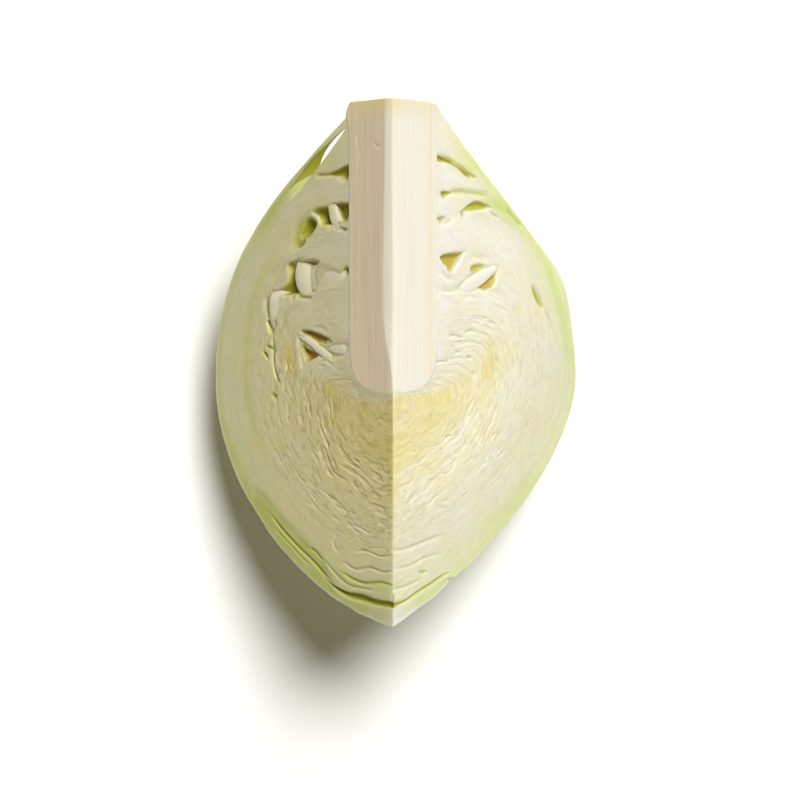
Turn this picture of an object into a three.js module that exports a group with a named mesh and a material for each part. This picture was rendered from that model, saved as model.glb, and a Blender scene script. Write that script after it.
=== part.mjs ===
// Quarter wedge of a white cabbage, lying on its rounded outer side with both cut faces up.
//
// The head's axis runs along Y: the stem end of the core is at +Y, the tip of the head at -Y.
// The two cut faces are planes at 45 degrees to the vertical that meet in a ridge on the axis.
// Every leaf is one closed shell that starts on the core, goes round the belly of the head and
// ends on the ridge. A place in the head is given by r, the distance from the axis, h, the
// distance from the stem end along the axis, and phi, the angle round the axis from straight
// down. The left cut face is at phi = -45 degrees and the right one at +45.
//
// Units are millimetres, +Z is up, and the origin is at the bottom centre of the bounding box.

import * as THREE from 'three';

// Driving dimensions
const cutAngle = 45;            // each cut face, in degrees from straight down
const stemEndY = 85.05;         // the stem end of the core
const ridgeX = -0.85;           // the ridge, left of the middle of the box
const ridgeZ = 86;              // the ridge, above the surface that the wedge rests on
const coreRadius = 20.5;
const coreLength = 94.7;
const coreTipRound = 19;        // length of the rounded inner end of the core
const coreTipPower = 3.2;       // how blunt that end is: 2 is an ellipse
const stemBevel = 0.8;          // worn rim of the stem end
const coreClearance = 0.5;      // between the core and the leaf bases
const bellyLeft = 90;           // h where the head is widest, on the left cut face
const bellyRight = 88;          // and on the right one
const heartBellyShift = 9;      // how much further along the innermost leaves are widest
const heartLeafCount = 13;
const heartClearance = 0.4;     // between two neighbouring heart leaves
const heartCrown = [131.5, 99.5];        // h on the axis of the heart's outer and inner leaf
const heartBase = { left: 89.3, right: 79.8 };
const heartBelly = { left: 37.3, right: 48.1 };
const budRadius = 1.2;
const restStart = 0.93;         // rows of a leaf between which its belly is pressed flat
const restEnd = 1.06;
const outerLeafEdge = 15;       // phi where the outermost leaf's margin lies

// Angles of the grid lines round the axis. The middle pair holds the flat rest spot.
const columns = [-45, -33, -21, -8, 8, 22, 33.5, 45];
const outerLeafColumns = [-45, -33, -21, -8, 8, outerLeafEdge];
const secondLeafColumns = [-45, -33, -21, -8, 8, outerLeafEdge, 22, 33.5, 45];

const radians = THREE.MathUtils.degToRad;
const mix = THREE.MathUtils.lerp;
const smooth = (low, high, value) => THREE.MathUtils.smoothstep(value, low, high);

// --- Frame ---

function place(r, h, phi) {
  const angle = radians(phi);
  const x = ridgeX + r * Math.sin(angle);
  const z = Math.max(0, ridgeZ - r * Math.cos(angle));
  return [x, stemEndY - h, z];
}

// --- Core outline: a straight side, then a blunt rounded end ---

const tipStart = coreLength - coreTipRound;

function buildTipOutline(steps = 200) {
  const outline = [];
  let length = 0;
  for (let i = 0; i <= steps; i += 1) {
    const angle = (i / steps) * Math.PI / 2;
    const r = coreRadius * Math.max(0, Math.cos(angle)) ** (2 / coreTipPower);
    const h = tipStart + coreTipRound * Math.sin(angle) ** (2 / coreTipPower);
    if (i > 0) length += Math.hypot(r - outline[i - 1].r, h - outline[i - 1].h);
    outline.push({ r, h, length });
  }
  return outline;
}

const tipOutline = buildTipOutline();
const coreOutlineLength = tipStart + tipOutline[tipOutline.length - 1].length;

// The point of the core's outline that lies "along" millimetres from the stem end.
function outlinePoint(along) {
  if (along <= tipStart) return { r: coreRadius, h: along };
  const wanted = along - tipStart;
  const after = tipOutline.findIndex((point) => point.length >= wanted);
  if (after < 0) return tipOutline[tipOutline.length - 1];
  const low = tipOutline[Math.max(0, after - 1)];
  const high = tipOutline[Math.max(1, after)];
  const part = (wanted - low.length) / (high.length - low.length);
  return { r: mix(low.r, high.r, part), h: mix(low.h, high.h, part) };
}

function outlineNormal(along) {
  const step = 0.4;
  const before = outlinePoint(along - step);
  const after = outlinePoint(along + step);
  const length = Math.hypot(after.r - before.r, after.h - before.h);
  return { r: (after.h - before.h) / length, h: (before.r - after.r) / length };
}

function leafRoot(along) {
  const point = outlinePoint(along);
  const normal = outlineNormal(along);
  return { r: point.r + coreClearance * normal.r, h: point.h + coreClearance * normal.h };
}

// --- Leaf curves ---
//
// One side of a leaf on one cut face is a curve in r and h: it leaves the core "base"
// millimetres from the stem end, heads for the point (reach, rise), turns at the shoulder
// height, is widest at "belly" and closes on the axis at the leaf's crown height.

const curve = (base, belly, reach, rise, shoulder) => ({ base, belly, reach, rise, shoulder });

const wrappingLeaves = [
  { name: 'leaf_01_torn_outer', crown: [170.1, 168.2],
    left: [curve(7.0, 86.5, 56, 29, 48), curve(9.0, 84.8, 55.4, 28.3, 49)],
    right: [curve(1.0, 88.9, 48, 30.5, 48), curve(2.0, 87.2, 48, 31, 48.6)] },
  { name: 'leaf_02_outer', crown: [167.3, 165.2],
    left: [curve(10.6, 83.9, 54, 28.6, 50), curve(13.6, 82.2, 53, 27.4, 50.2)],
    right: [curve(1.0, 88.9, 48, 30.5, 48), curve(16.6, 85.4, 50, 24.6, 54)] },
  { name: 'leaf_03', crown: [162.3, 160.1],
    left: [curve(14.9, 81.9, 51.8, 26.8, 50.5), curve(18.6, 80.1, 50.8, 25, 50.6)],
    right: [curve(17, 85.1, 49.8, 25.2, 54.6), curve(17.9, 83.9, 49.6, 25.6, 55.4)] },
  { name: 'leaf_04', crown: [159.7, 157.4],
    left: [curve(19, 79.8, 50.6, 25, 51), curve(20.8, 78.4, 49.8, 24.4, 51)],
    right: [curve(18.4, 83.5, 49.4, 26, 55.8), curve(29.3, 80.9, 46.8, 21.4, 52.6)] },
  { name: 'leaf_05_rib_left', crown: [157, 154.4],
    left: [curve(24.4, 77.9, 46.6, 21.6, 50), curve(33.2, 69, 42, 29, 42)],
    right: [curve(29.7, 80.5, 46.6, 21.8, 53.4), curve(30.6, 79.4, 46.3, 22.3, 54.2)] },
  { name: 'leaf_06', crown: [154, 151.7],
    left: [curve(39.2, 68.6, 39, 47, 41), curve(40.6, 67.2, 38, 48.6, 42)],
    right: [curve(31.1, 79, 46, 22.6, 54.6), curve(36.6, 77.2, 45, 21.6, 52)] },
  { name: 'leaf_07_rib_right', crown: [151.3, 148.4],
    left: [curve(41, 66.8, 38, 49, 42.5), curve(43, 65.2, 38, 50, 43.6)],
    right: [curve(39.6, 76.8, 44, 24, 52), curve(48.4, 70.6, 40, 41, 52)] },
  { name: 'leaf_08_rib_left', crown: [148, 145.2],
    left: [curve(43.4, 64.8, 38, 50.4, 44), curve(51.7, 58.2, 50, 50, 45)],
    right: [curve(56, 70.2, 44, 56, 53), curve(58.8, 64.6, 44, 57.6, 57)] },
  { name: 'leaf_09_rib_right', crown: [144.8, 141.8],
    left: [curve(61.5, 57.8, 42, 60, 62), curve(63, 56.3, 42, 61.5, 63.5)],
    right: [curve(60.2, 64.2, 44, 58.3, 58), curve(72, 56.6, 40, 66, 67)] },
  { name: 'leaf_10_rib_left', crown: [141.4, 138.6],
    left: [curve(63.5, 55.8, 42.6, 62.2, 64.2), curve(74.5, 47.8, 38, 70, 74)],
    right: [curve(72.4, 56.2, 40, 66.5, 67.6), curve(73.6, 54.7, 39.5, 68, 69)] },
  { name: 'leaf_11_rib_right', crown: [138.2, 135.2],
    left: [curve(79.2, 47.4, 36, 78, 78.4), curve(80.9, 43.8, 35, 79.5, 80.2)],
    right: [curve(74, 54.3, 39, 68.6, 69.6), curve(76.2, 51.7, 38, 71.4, 72)] },
  { name: 'leaf_12_rib_left', crown: [134.8, 131.9],
    left: [curve(81.3, 43.4, 35.6, 79.9, 80.6), curve(88.7, 37.9, 31, 85.8, 83.4)],
    right: [curve(76.6, 51.3, 37.8, 71.9, 72.5), curve(79.4, 48.5, 36.4, 75.3, 75.6)] },
];

// Where the second leaf lies under the outermost one, on its right side.
const secondLeafCovered = curve(2.4, 86.5, 48.5, 30, 49.6);

function bellyHeight(side, belly) {
  return mix(bellyLeft, bellyRight, side) + heartBellyShift * smooth(-52, -18, -belly);
}

// The heart's leaves stand on the core's rounded end, evenly spaced, and leave it squarely.
// The outer ones lift towards the stem first, as the leaves around them do.
function heartCurve(part, sideName, side, clearance) {
  const belly = mix(heartBelly[sideName], budRadius, part);
  const base = mix(heartBase[sideName], coreOutlineLength - 1.4, part);
  const root = leafRoot(base);
  const normal = outlineNormal(base);
  const widest = bellyHeight(side, belly);
  const lift = (1 - part) ** 2;
  const reach = root.r + (0.14 + 0.46 * normal.r) * (belly - root.r);
  const rise = root.h + 0.8 * normal.h * (widest - root.h) - 4.6 * lift;
  const shoulder = mix(root.h, widest, 0.35) - 6.6 * lift;
  return curve(base - clearance, belly + clearance, reach + 0.7 * clearance,
    rise - 0.9 * clearance, shoulder - 0.9 * clearance);
}

function heartLeaf(index) {
  const outer = index / heartLeafCount;
  const inner = (index + 1) / heartLeafCount;
  const crownAt = (part) => mix(heartCrown[0], heartCrown[1], part);
  const curves = (sideName, side) => [
    heartCurve(outer, sideName, side, 0),
    heartCurve(inner, sideName, side, heartClearance),
  ];
  return {
    name: `heart_leaf_${String(index + 1).padStart(2, '0')}`,
    crown: [crownAt(outer), crownAt(inner) + heartClearance],
    left: curves('left', 0),
    right: curves('right', 1),
  };
}

function blendCurves(a, b, part) {
  const blended = {};
  for (const key of Object.keys(a)) blended[key] = mix(a[key], b[key], part);
  return blended;
}

function bezier(p0, p1, p2, p3, t) {
  const u = 1 - t;
  return u ** 3 * p0 + 3 * t * u ** 2 * p1 + 3 * t ** 2 * u * p2 + t ** 3 * p3;
}

// along: 0 at the core, 1 at the belly, 2 on the axis at the crown. side: 0 left, 1 right.
function curvePoint(shape, crown, side, along) {
  const widest = bellyHeight(side, shape.belly);
  if (along <= 1) {
    const root = leafRoot(shape.base);
    return {
      r: bezier(root.r, shape.reach, shape.belly, shape.belly, along),
      h: bezier(root.h, shape.rise, shape.shoulder, widest, along),
    };
  }
  const t = along - 1;
  const innerness = smooth(-88, -30, -shape.belly);
  const roundness = mix(mix(0.475, 0.38, side), 0.52, innerness);
  const flatness = mix(mix(0.485, 0.405, side), 0.52, innerness);
  const droop = mix(mix(0.1, 0.37, side), 0.04, innerness);
  const reach = flatness * shape.belly;
  return {
    r: bezier(shape.belly, shape.belly, reach, 0, t),
    h: bezier(widest, widest + roundness * (crown - widest), crown - droop * reach, crown, t),
  };
}

const sideOf = (phi) => smooth(-cutAngle, cutAngle, phi);

function leafPoint(leaf, surface, phi, along) {
  const side = sideOf(phi);
  const shape = blendCurves(leaf.left[surface], leaf.right[surface], side);
  return curvePoint(shape, leaf.crown[surface], side, along);
}

// The second leaf's outer side runs under the outermost leaf and is bare beyond its margin.
function secondLeafPoint(leaf, surface, phi, along) {
  if (surface === 1) return leafPoint(leaf, surface, phi, along);
  const side = sideOf(phi);
  const covered = blendCurves(leaf.left[0], secondLeafCovered, side);
  const bare = blendCurves(wrappingLeaves[0].left[0], leaf.right[0], side);
  const shape = blendCurves(covered, bare, smooth(outerLeafEdge, 22, phi));
  return curvePoint(shape, leaf.crown[0], side, along);
}

// --- Solids ---

// Collects shared vertices and faces of one closed body.
class Body {
  constructor() {
    this.points = [];
    this.faces = [];
  }

  add(point) {
    return this.points.push(point) - 1;
  }

  quad(a, b, c, d) {
    this.triangle(a, b, c);
    this.triangle(a, c, d);
  }

  triangle(a, b, c) {
    if (a !== b && b !== c && a !== c) this.faces.push([a, b, c]);
  }

  // Joins two equal rows of vertices; a row of one vertex is an apex.
  strip(rowA, rowB) {
    for (let j = 0; j + 1 < Math.max(rowA.length, rowB.length); j += 1) {
      const a = (row, k) => row[Math.min(k, row.length - 1)];
      this.quad(a(rowA, j), a(rowB, j), a(rowB, j + 1), a(rowA, j + 1));
    }
  }

  volume() {
    let sum = 0;
    for (const [a, b, c] of this.faces) {
      const [pa, pb, pc] = [this.points[a], this.points[b], this.points[c]];
      sum += pa[0] * (pb[1] * pc[2] - pb[2] * pc[1])
        + pa[1] * (pb[2] * pc[0] - pb[0] * pc[2])
        + pa[2] * (pb[0] * pc[1] - pb[1] * pc[0]);
    }
    return sum / 6;
  }

  geometry() {
    const inside = this.volume() < 0;
    const order = (face) => (inside ? [face[0], face[2], face[1]] : face);
    const geometry = new THREE.BufferGeometry();
    const position = new THREE.Float32BufferAttribute(this.points.flat(), 3);
    geometry.setAttribute('position', position);
    geometry.setIndex(this.faces.flatMap(order));
    geometry.computeVertexNormals();
    return geometry;
  }
}

// A closed ring of rows, each row running round the axis, with walls at both ends of the rows.
function closeRing(body, outerRows, innerRows) {
  const last = outerRows.length - 1;
  for (let i = 0; i < last; i += 1) {
    body.strip(outerRows[i], outerRows[i + 1]);
    body.strip(innerRows[i + 1], innerRows[i]);
    const first = (rows, k) => rows[k][0];
    const end = (rows, k) => rows[k][rows[k].length - 1];
    body.quad(first(outerRows, i), first(innerRows, i), first(innerRows, i + 1), first(outerRows, i + 1));
    body.quad(end(outerRows, i), end(outerRows, i + 1), end(innerRows, i + 1), end(innerRows, i));
  }
}

// Rows of the grid along a leaf: evenly spaced, with an extra close pair round the belly, where
// the outermost leaf is pressed flat.
function stations(upperSteps, lowerSteps) {
  const list = [];
  for (let i = 0; i < upperSteps; i += 1) list.push(restStart * (i / upperSteps));
  list.push(restStart, 1);
  for (let i = 0; i <= lowerSteps; i += 1) list.push(mix(restEnd, 2, i / lowerSteps));
  return list;
}

// A leaf: two surfaces that follow the grid, a wall against the core, and an edge on the axis.
function leafGeometry(leaf, { steps, phis, at = leafPoint, spread = (phi) => phi }) {
  const body = new Body();
  const rows = [0, 1].map((surface) => steps.map((along) => {
    const point = (phi) => {
      const angle = spread(phi, along);
      const { r, h } = at(leaf, surface, angle, along);
      return body.add(place(r, h, angle));
    };
    return along < 2 ? phis.map(point) : [point(0)];
  }));
  closeRing(body, rows[0], rows[1]);
  const middle = phis.map((phi) => {
    const angle = spread(phi, 0);
    const side = sideOf(angle);
    const base = (k) => blendCurves(leaf.left[k], leaf.right[k], side).base;
    const { r, h } = leafRoot((base(0) + base(1)) / 2);
    return body.add(place(r, h, angle));
  });
  body.strip(rows[1][0], middle);
  body.strip(middle, rows[0][0]);
  body.triangle(rows[0][0][0], middle[0], rows[1][0][0]);
  const end = phis.length - 1;
  body.triangle(rows[0][0][end], rows[1][0][end], middle[end]);
  return body.geometry();
}

function coreGeometry() {
  const body = new Body();
  const profile = [{ r: coreRadius - stemBevel, h: 0 }, { r: coreRadius, h: stemBevel }];
  for (const along of [24, 50, tipStart]) profile.push(outlinePoint(along));
  const domeSteps = 8;
  const domeLength = coreOutlineLength - tipStart;
  for (let i = 1; i < domeSteps; i += 1) {
    profile.push(outlinePoint(tipStart + domeLength * (i / domeSteps)));
  }
  const skin = profile.map(({ r, h }) => columns.map((phi) => body.add(place(r, h, phi))));
  const axis = profile.map(({ h }) => [body.add(place(0, h, 0))]);
  const tip = [body.add(place(0, coreLength, 0))];
  body.strip(axis[0], skin[0]);
  for (let i = 0; i + 1 < profile.length; i += 1) {
    body.strip(skin[i], skin[i + 1]);
    body.quad(skin[i][0], axis[i][0], axis[i + 1][0], skin[i + 1][0]);
    const end = columns.length - 1;
    body.quad(skin[i][end], skin[i + 1][end], axis[i + 1][0], axis[i][0]);
  }
  const i = profile.length - 1;
  body.strip(skin[i], tip);
  body.triangle(skin[i][0], axis[i][0], tip[0]);
  body.triangle(skin[i][columns.length - 1], tip[0], axis[i][0]);
  return body.geometry();
}

// A crumpled fold of leaf in one of the hollows beside the core: a ribbon that crosses the
// hollow along "path", as thick as "thickness", and runs "depth" degrees in from the cut face.
const folds = [
  { name: 'fold_left_1', face: -1, path: [[27.9, 33.6], [28.4, 36.5], [27.6, 39.6]], thickness: 2.6 },
  { name: 'fold_left_2', face: -1, thickness: 1.6,
    path: [[34.8, 38.8], [38.8, 37], [42.6, 38.6], [44.2, 41.2], [44.5, 43]] },
  { name: 'fold_left_3', face: -1, path: [[42.3, 52.8], [43.4, 56.4], [42, 60.2]], thickness: 4 },
  { name: 'fold_left_4', face: -1, path: [[32, 53], [31.2, 56.5], [32, 59.9]], thickness: 6 },
  { name: 'fold_left_5', face: -1, path: [[51.6, 62.9], [53.4, 65.8], [54.5, 68.3]], thickness: 2.7 },
  { name: 'fold_left_6', face: -1, path: [[39.3, 76.6], [35, 76.1], [29.8, 76.8]], thickness: 1.6 },
  { name: 'fold_right_1', face: 1, path: [[34, 47.5], [32.4, 50.8], [29.9, 53.4]], thickness: 2.2 },
  { name: 'fold_right_2', face: 1, path: [[37.3, 53.7], [43, 52.6], [48.4, 51.4]], thickness: 2 },
];
const foldDepth = 13;
const foldDepthSteps = 2;

function ribbonOutline(path, thickness) {
  const points = path.map(([r, h]) => new THREE.Vector2(r, h));
  const sides = [[], []];
  points.forEach((point, i) => {
    const before = points[Math.max(0, i - 1)];
    const after = points[Math.min(points.length - 1, i + 1)];
    const along = after.clone().sub(before).normalize();
    const across = new THREE.Vector2(-along.y, along.x).multiplyScalar(thickness / 2);
    sides[0].push(point.clone().add(across));
    sides[1].push(point.clone().sub(across));
  });
  return [...sides[0], ...sides[1].reverse()];
}

function foldGeometry({ face, path, thickness }) {
  const body = new Body();
  const outline = ribbonOutline(path, thickness);
  const loops = [];
  for (let k = 0; k <= foldDepthSteps; k += 1) {
    const phi = face * (cutAngle - foldDepth * (k / foldDepthSteps));
    loops.push(outline.map((point) => body.add(place(point.x, point.y, phi))));
  }
  for (let k = 0; k < foldDepthSteps; k += 1) {
    body.strip([...loops[k], loops[k][0]], [...loops[k + 1], loops[k + 1][0]]);
  }
  const count = outline.length;
  for (let i = 0; i + 1 < count / 2; i += 1) {
    const corners = [i, i + 1, count - 2 - i, count - 1 - i];
    const [a, b, c, d] = corners.map((k) => loops[0][k]);
    const [e, f, g, o] = corners.map((k) => loops[foldDepthSteps][k]);
    body.quad(a, b, c, d);
    body.quad(o, g, f, e);
  }
  return body.geometry();
}

// --- Assembly ---

const material = (color, roughness) => new THREE.MeshStandardMaterial({ color, roughness, metalness: 0 });
const coreMaterial = () => material('#efe6cf', 0.5);
const outerLeafMaterial = () => material('#cfdca0', 0.5);
const innerLeafMaterial = () => material('#ece8c8', 0.5);
const heartLeafMaterial = () => material('#f0e6b0', 0.5);

const cabbage = new THREE.Group();
cabbage.name = 'white_cabbage_quarter';

function addPiece(name, geometry, pieceMaterial) {
  const mesh = new THREE.Mesh(geometry, pieceMaterial);
  mesh.name = name;
  cabbage.add(mesh);
}

// The outermost leaf is torn beside the stem: only a narrow strap of it reaches the core.
const strapWidth = 3.5;
function outerLeafSpread(phi, along) {
  const edge = mix(strapWidth - cutAngle, outerLeafEdge, smooth(0.15, 0.5, along));
  return -cutAngle + (phi + cutAngle) * (edge + cutAngle) / (outerLeafEdge + cutAngle);
}

// Behind that tear the second leaf's margin lies further back, which leaves an open hole.
const tearSetback = 17;
function secondLeafSpread(phi, along) {
  const start = -cutAngle + tearSetback * (1 - smooth(0.12, 0.32, along));
  return cutAngle - (cutAngle - phi) * (cutAngle - start) / (2 * cutAngle);
}

const wrappingSteps = stations(8, 7);
const heartSteps = stations(4, 4);

addPiece('core', coreGeometry(), coreMaterial());
wrappingLeaves.forEach((leaf, index) => {
  const options = [
    { steps: wrappingSteps, phis: outerLeafColumns, spread: outerLeafSpread },
    { steps: wrappingSteps, phis: secondLeafColumns, spread: secondLeafSpread, at: secondLeafPoint },
  ][index] ?? { steps: wrappingSteps, phis: columns };
  const leafMaterial = index < 4 ? outerLeafMaterial() : innerLeafMaterial();
  addPiece(leaf.name, leafGeometry(leaf, options), leafMaterial);
});
for (let index = 0; index < heartLeafCount; index += 1) {
  const leaf = heartLeaf(index);
  const geometry = leafGeometry(leaf, { steps: heartSteps, phis: columns });
  addPiece(leaf.name, geometry, heartLeafMaterial());
}
for (const fold of folds) addPiece(fold.name, foldGeometry(fold), innerLeafMaterial());

export default cabbage;
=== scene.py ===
"""Looks of the quarter wedge of white cabbage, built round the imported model.

Every piece is a fine mesh that stands for one CAD node, apart from crumple_1, a small fold that
the CAD model leaves out. A place in the head is given as in the CAD model, in millimetres: r is
the distance from the head's axis, h the distance from the stem end along the axis, and phi the
angle round the axis from straight down. The cut faces are at phi = -45 and +45 degrees. Leaves
have levels: 0 is the outermost leaf and 24 the innermost.
"""

import math

import bpy
import numpy as np
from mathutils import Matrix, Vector


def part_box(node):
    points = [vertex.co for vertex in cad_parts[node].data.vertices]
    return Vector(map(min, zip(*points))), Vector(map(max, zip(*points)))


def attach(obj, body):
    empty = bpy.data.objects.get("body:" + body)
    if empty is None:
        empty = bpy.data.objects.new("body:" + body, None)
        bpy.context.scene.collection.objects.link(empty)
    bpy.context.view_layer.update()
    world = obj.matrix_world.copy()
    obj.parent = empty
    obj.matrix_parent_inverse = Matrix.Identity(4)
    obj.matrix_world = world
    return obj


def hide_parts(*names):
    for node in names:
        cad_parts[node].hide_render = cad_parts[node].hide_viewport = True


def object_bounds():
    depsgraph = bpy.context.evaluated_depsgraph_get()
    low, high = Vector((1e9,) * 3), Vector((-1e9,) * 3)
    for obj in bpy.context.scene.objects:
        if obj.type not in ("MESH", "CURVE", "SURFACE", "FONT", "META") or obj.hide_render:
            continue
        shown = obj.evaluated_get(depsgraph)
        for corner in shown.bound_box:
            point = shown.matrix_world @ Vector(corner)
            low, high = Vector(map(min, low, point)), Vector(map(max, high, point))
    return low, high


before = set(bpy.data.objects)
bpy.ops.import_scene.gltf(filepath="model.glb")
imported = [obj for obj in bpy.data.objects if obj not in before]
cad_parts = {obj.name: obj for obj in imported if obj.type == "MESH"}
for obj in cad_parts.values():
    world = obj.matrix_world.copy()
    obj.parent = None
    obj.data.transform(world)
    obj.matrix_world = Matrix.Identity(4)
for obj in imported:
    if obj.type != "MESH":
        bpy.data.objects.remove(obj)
cad_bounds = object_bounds()

# --- Sizes, in millimetres ---

MM = 0.001
core_low, core_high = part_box("core")
STEM_END_Y = cad_bounds[1].y / MM
RIDGE_Z = cad_bounds[1].z / MM
RIDGE_X = (core_low.x + core_high.x) / 2 / MM
CORE_RADIUS = (core_high.x - core_low.x) / MM / math.sqrt(2)
CORE_LENGTH = (core_high.y - core_low.y) / MM
CUT_ANGLE = 45
CORE_TIP_ROUND = 19
CORE_TIP_POWER = 3.2
ROOT_SINK = 0.3                     # the leaves' roots lie this far inside the core
BELLY_HEIGHT = (90, 88)             # h where the head is widest, on the left and the right face
HEART_BELLY_SHIFT = 9
HEART_LEAVES = 13
HEART_CLEARANCE = 0.4
HEART_CROWN = (131.5, 99.5)
HEART_BASE = (89.3, 79.8)
HEART_BELLY = (37.3, 48.1)
BUD_RADIUS = 1.2
OUTER_LEAF_EDGE = 15                # phi of the outermost leaf's margin on the back
LEFT, RIGHT = -1, 1


def mix(a, b, part):
    return a + (b - a) * part


def smooth(low, high, value):
    part = np.clip((np.asarray(value, float) - low) / (high - low), 0, 1)
    return part * part * (3 - 2 * part)


# --- Noise ---

class Noise:
    """Smooth seeded noise between -1 and 1 at points given in millimetres."""

    SIZE = 24

    def __init__(self, seed):
        random = np.random.default_rng(seed)
        self.values = random.uniform(-1, 1, (self.SIZE,) * 3)
        self.turn = np.linalg.qr(random.normal(size=(3, 3)))[0]
        self.shift = random.uniform(0, self.SIZE, 3)

    def __call__(self, points, wavelength):
        return self.sample((points @ self.turn) / wavelength)

    def sample(self, scaled):
        scaled = scaled + self.shift
        cell = np.floor(scaled).astype(int)
        part = scaled - cell
        part = part * part * part * (part * (part * 6 - 15) + 10)
        total = np.zeros(scaled.shape[:-1])
        for corner in np.ndindex(2, 2, 2):
            index = (cell + corner) % self.SIZE
            weight = np.where(np.array(corner) == 1, part, 1 - part).prod(-1)
            total += weight * self.values[index[..., 0], index[..., 1], index[..., 2]]
        return total


(warp_across, warp_along, knife_noise, gap_noise, pocket_noise, silhouette_noise, tone_noise,
 vein_noise, stroke_noise) = (Noise(seed) for seed in range(11, 20))


# --- Core outline and leaf curves, as in the CAD model ---

def core_outline():
    angle = np.linspace(0, math.pi / 2, 400)
    r = CORE_RADIUS * np.cos(angle) ** (2 / CORE_TIP_POWER)
    h = CORE_LENGTH - CORE_TIP_ROUND + CORE_TIP_ROUND * np.sin(angle) ** (2 / CORE_TIP_POWER)
    length = np.concatenate([[0], np.cumsum(np.hypot(np.diff(r), np.diff(h)))])
    return r, h, length


OUTLINE_R, OUTLINE_H, OUTLINE_LENGTH = core_outline()
TIP_START = CORE_LENGTH - CORE_TIP_ROUND
CORE_OUTLINE_LENGTH = TIP_START + OUTLINE_LENGTH[-1]


def outline_point(along):
    wanted = np.maximum(along - TIP_START, 0)
    r = np.interp(wanted, OUTLINE_LENGTH, OUTLINE_R)
    h = np.where(along < TIP_START, along, np.interp(wanted, OUTLINE_LENGTH, OUTLINE_H))
    return r, h


def outline_normal(along):
    step = 0.4
    r0, h0 = outline_point(along - step)
    r1, h1 = outline_point(along + step)
    length = np.hypot(r1 - r0, h1 - h0)
    return (h1 - h0) / length, (r0 - r1) / length


def leaf_root(along):
    r, h = outline_point(along)
    normal_r, normal_h = outline_normal(along)
    return r - ROOT_SINK * normal_r, h - ROOT_SINK * normal_h


# A curve is (base, belly, reach, rise, shoulder). It leaves the core "base" from the stem end,
# heads for (reach, rise), turns at the shoulder height and is widest at "belly".
# A leaf is (name, crown heights, left curves, right curves), each outer surface first.

WRAPPING_LEAVES = [
    ("leaf_01_torn_outer", (170.1, 168.2),
     ((4.2, 86.5, 56, 27.0, 48), (7.4, 84.8, 55.4, 25.8, 49)),
     ((1.0, 88.9, 48, 30.5, 48), (2.0, 87.2, 48, 31, 48.6))),
    ("leaf_02_outer", (167.3, 165.2),
     ((6.4, 83.9, 54, 28.6, 50), (9.0, 82.2, 53, 27.4, 50.2)),
     ((1.0, 88.9, 48, 30.5, 48), (16.6, 85.4, 50, 24.6, 54))),
    ("leaf_03", (162.3, 160.1),
     ((7.0, 81.9, 51.8, 38, 50.5), (18.6, 80.1, 50.8, 25, 50.6)),
     ((17, 85.1, 49.8, 25.2, 54.6), (17.9, 83.9, 49.6, 25.6, 55.4))),
    ("leaf_04", (159.7, 157.4),
     ((19, 79.8, 50.6, 25, 51), (20.8, 78.4, 49.8, 24.4, 51)),
     ((18.4, 83.5, 49.4, 26, 55.8), (29.3, 80.9, 46.8, 21.4, 52.6))),
    ("leaf_05_rib_left", (157, 154.4),
     ((24.4, 77.9, 46.6, 21.6, 50), (33.2, 69, 42, 29, 42)),
     ((29.7, 80.5, 46.6, 21.8, 53.4), (30.6, 79.4, 46.3, 22.3, 54.2))),
    ("leaf_06", (154, 151.7),
     ((39.2, 68.6, 39, 47, 41), (40.6, 67.2, 38, 48.6, 42)),
     ((31.1, 79, 46, 22.6, 54.6), (36.6, 77.2, 45, 21.6, 52))),
    ("leaf_07_rib_right", (151.3, 148.4),
     ((41, 66.8, 38, 49, 42.5), (43, 65.2, 38, 50, 43.6)),
     ((39.6, 76.8, 44, 24, 52), (48.4, 70.6, 40, 41, 52))),
    ("leaf_08_rib_left", (148, 145.2),
     ((43.4, 64.8, 38, 50.4, 44), (51.7, 58.2, 50, 50, 45)),
     ((56, 70.2, 44, 56, 53), (58.8, 64.6, 44, 57.6, 57))),
    ("leaf_09_rib_right", (144.8, 141.8),
     ((61.5, 57.8, 42, 60, 62), (63, 56.3, 42, 61.5, 63.5)),
     ((60.2, 64.2, 44, 58.3, 58), (72, 56.6, 40, 66, 67))),
    ("leaf_10_rib_left", (141.4, 138.6),
     ((63.5, 55.8, 42.6, 62.2, 64.2), (74.5, 47.8, 38, 70, 74)),
     ((72.4, 56.2, 40, 66.5, 67.6), (73.6, 54.7, 39.5, 68, 69))),
    ("leaf_11_rib_right", (138.2, 135.2),
     ((79.2, 47.4, 36, 78, 78.4), (80.9, 43.8, 35, 79.5, 80.2)),
     ((74, 54.3, 39, 68.6, 69.6), (76.2, 51.7, 38, 71.4, 72))),
    ("leaf_12_rib_left", (134.8, 131.9),
     ((81.3, 43.4, 35.6, 79.9, 80.6), (88.7, 37.9, 31, 85.8, 83.4)),
     ((76.6, 51.3, 37.8, 71.9, 72.5), (79.4, 48.5, 36.4, 75.3, 75.6))),
]
SECOND_LEAF_COVERED = (2.4, 86.5, 48.5, 30, 49.6)
FIRST_HEART_LEVEL = len(WRAPPING_LEAVES)
GREEN_LEAVES = 4                    # the outermost leaves, which have the greener material


def blend_curves(a, b, part):
    return tuple(mix(x, y, part) for x, y in zip(a, b))


def belly_height(side, belly):
    return mix(*BELLY_HEIGHT, side) + HEART_BELLY_SHIFT * smooth(-52, -18, -belly)


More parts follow.
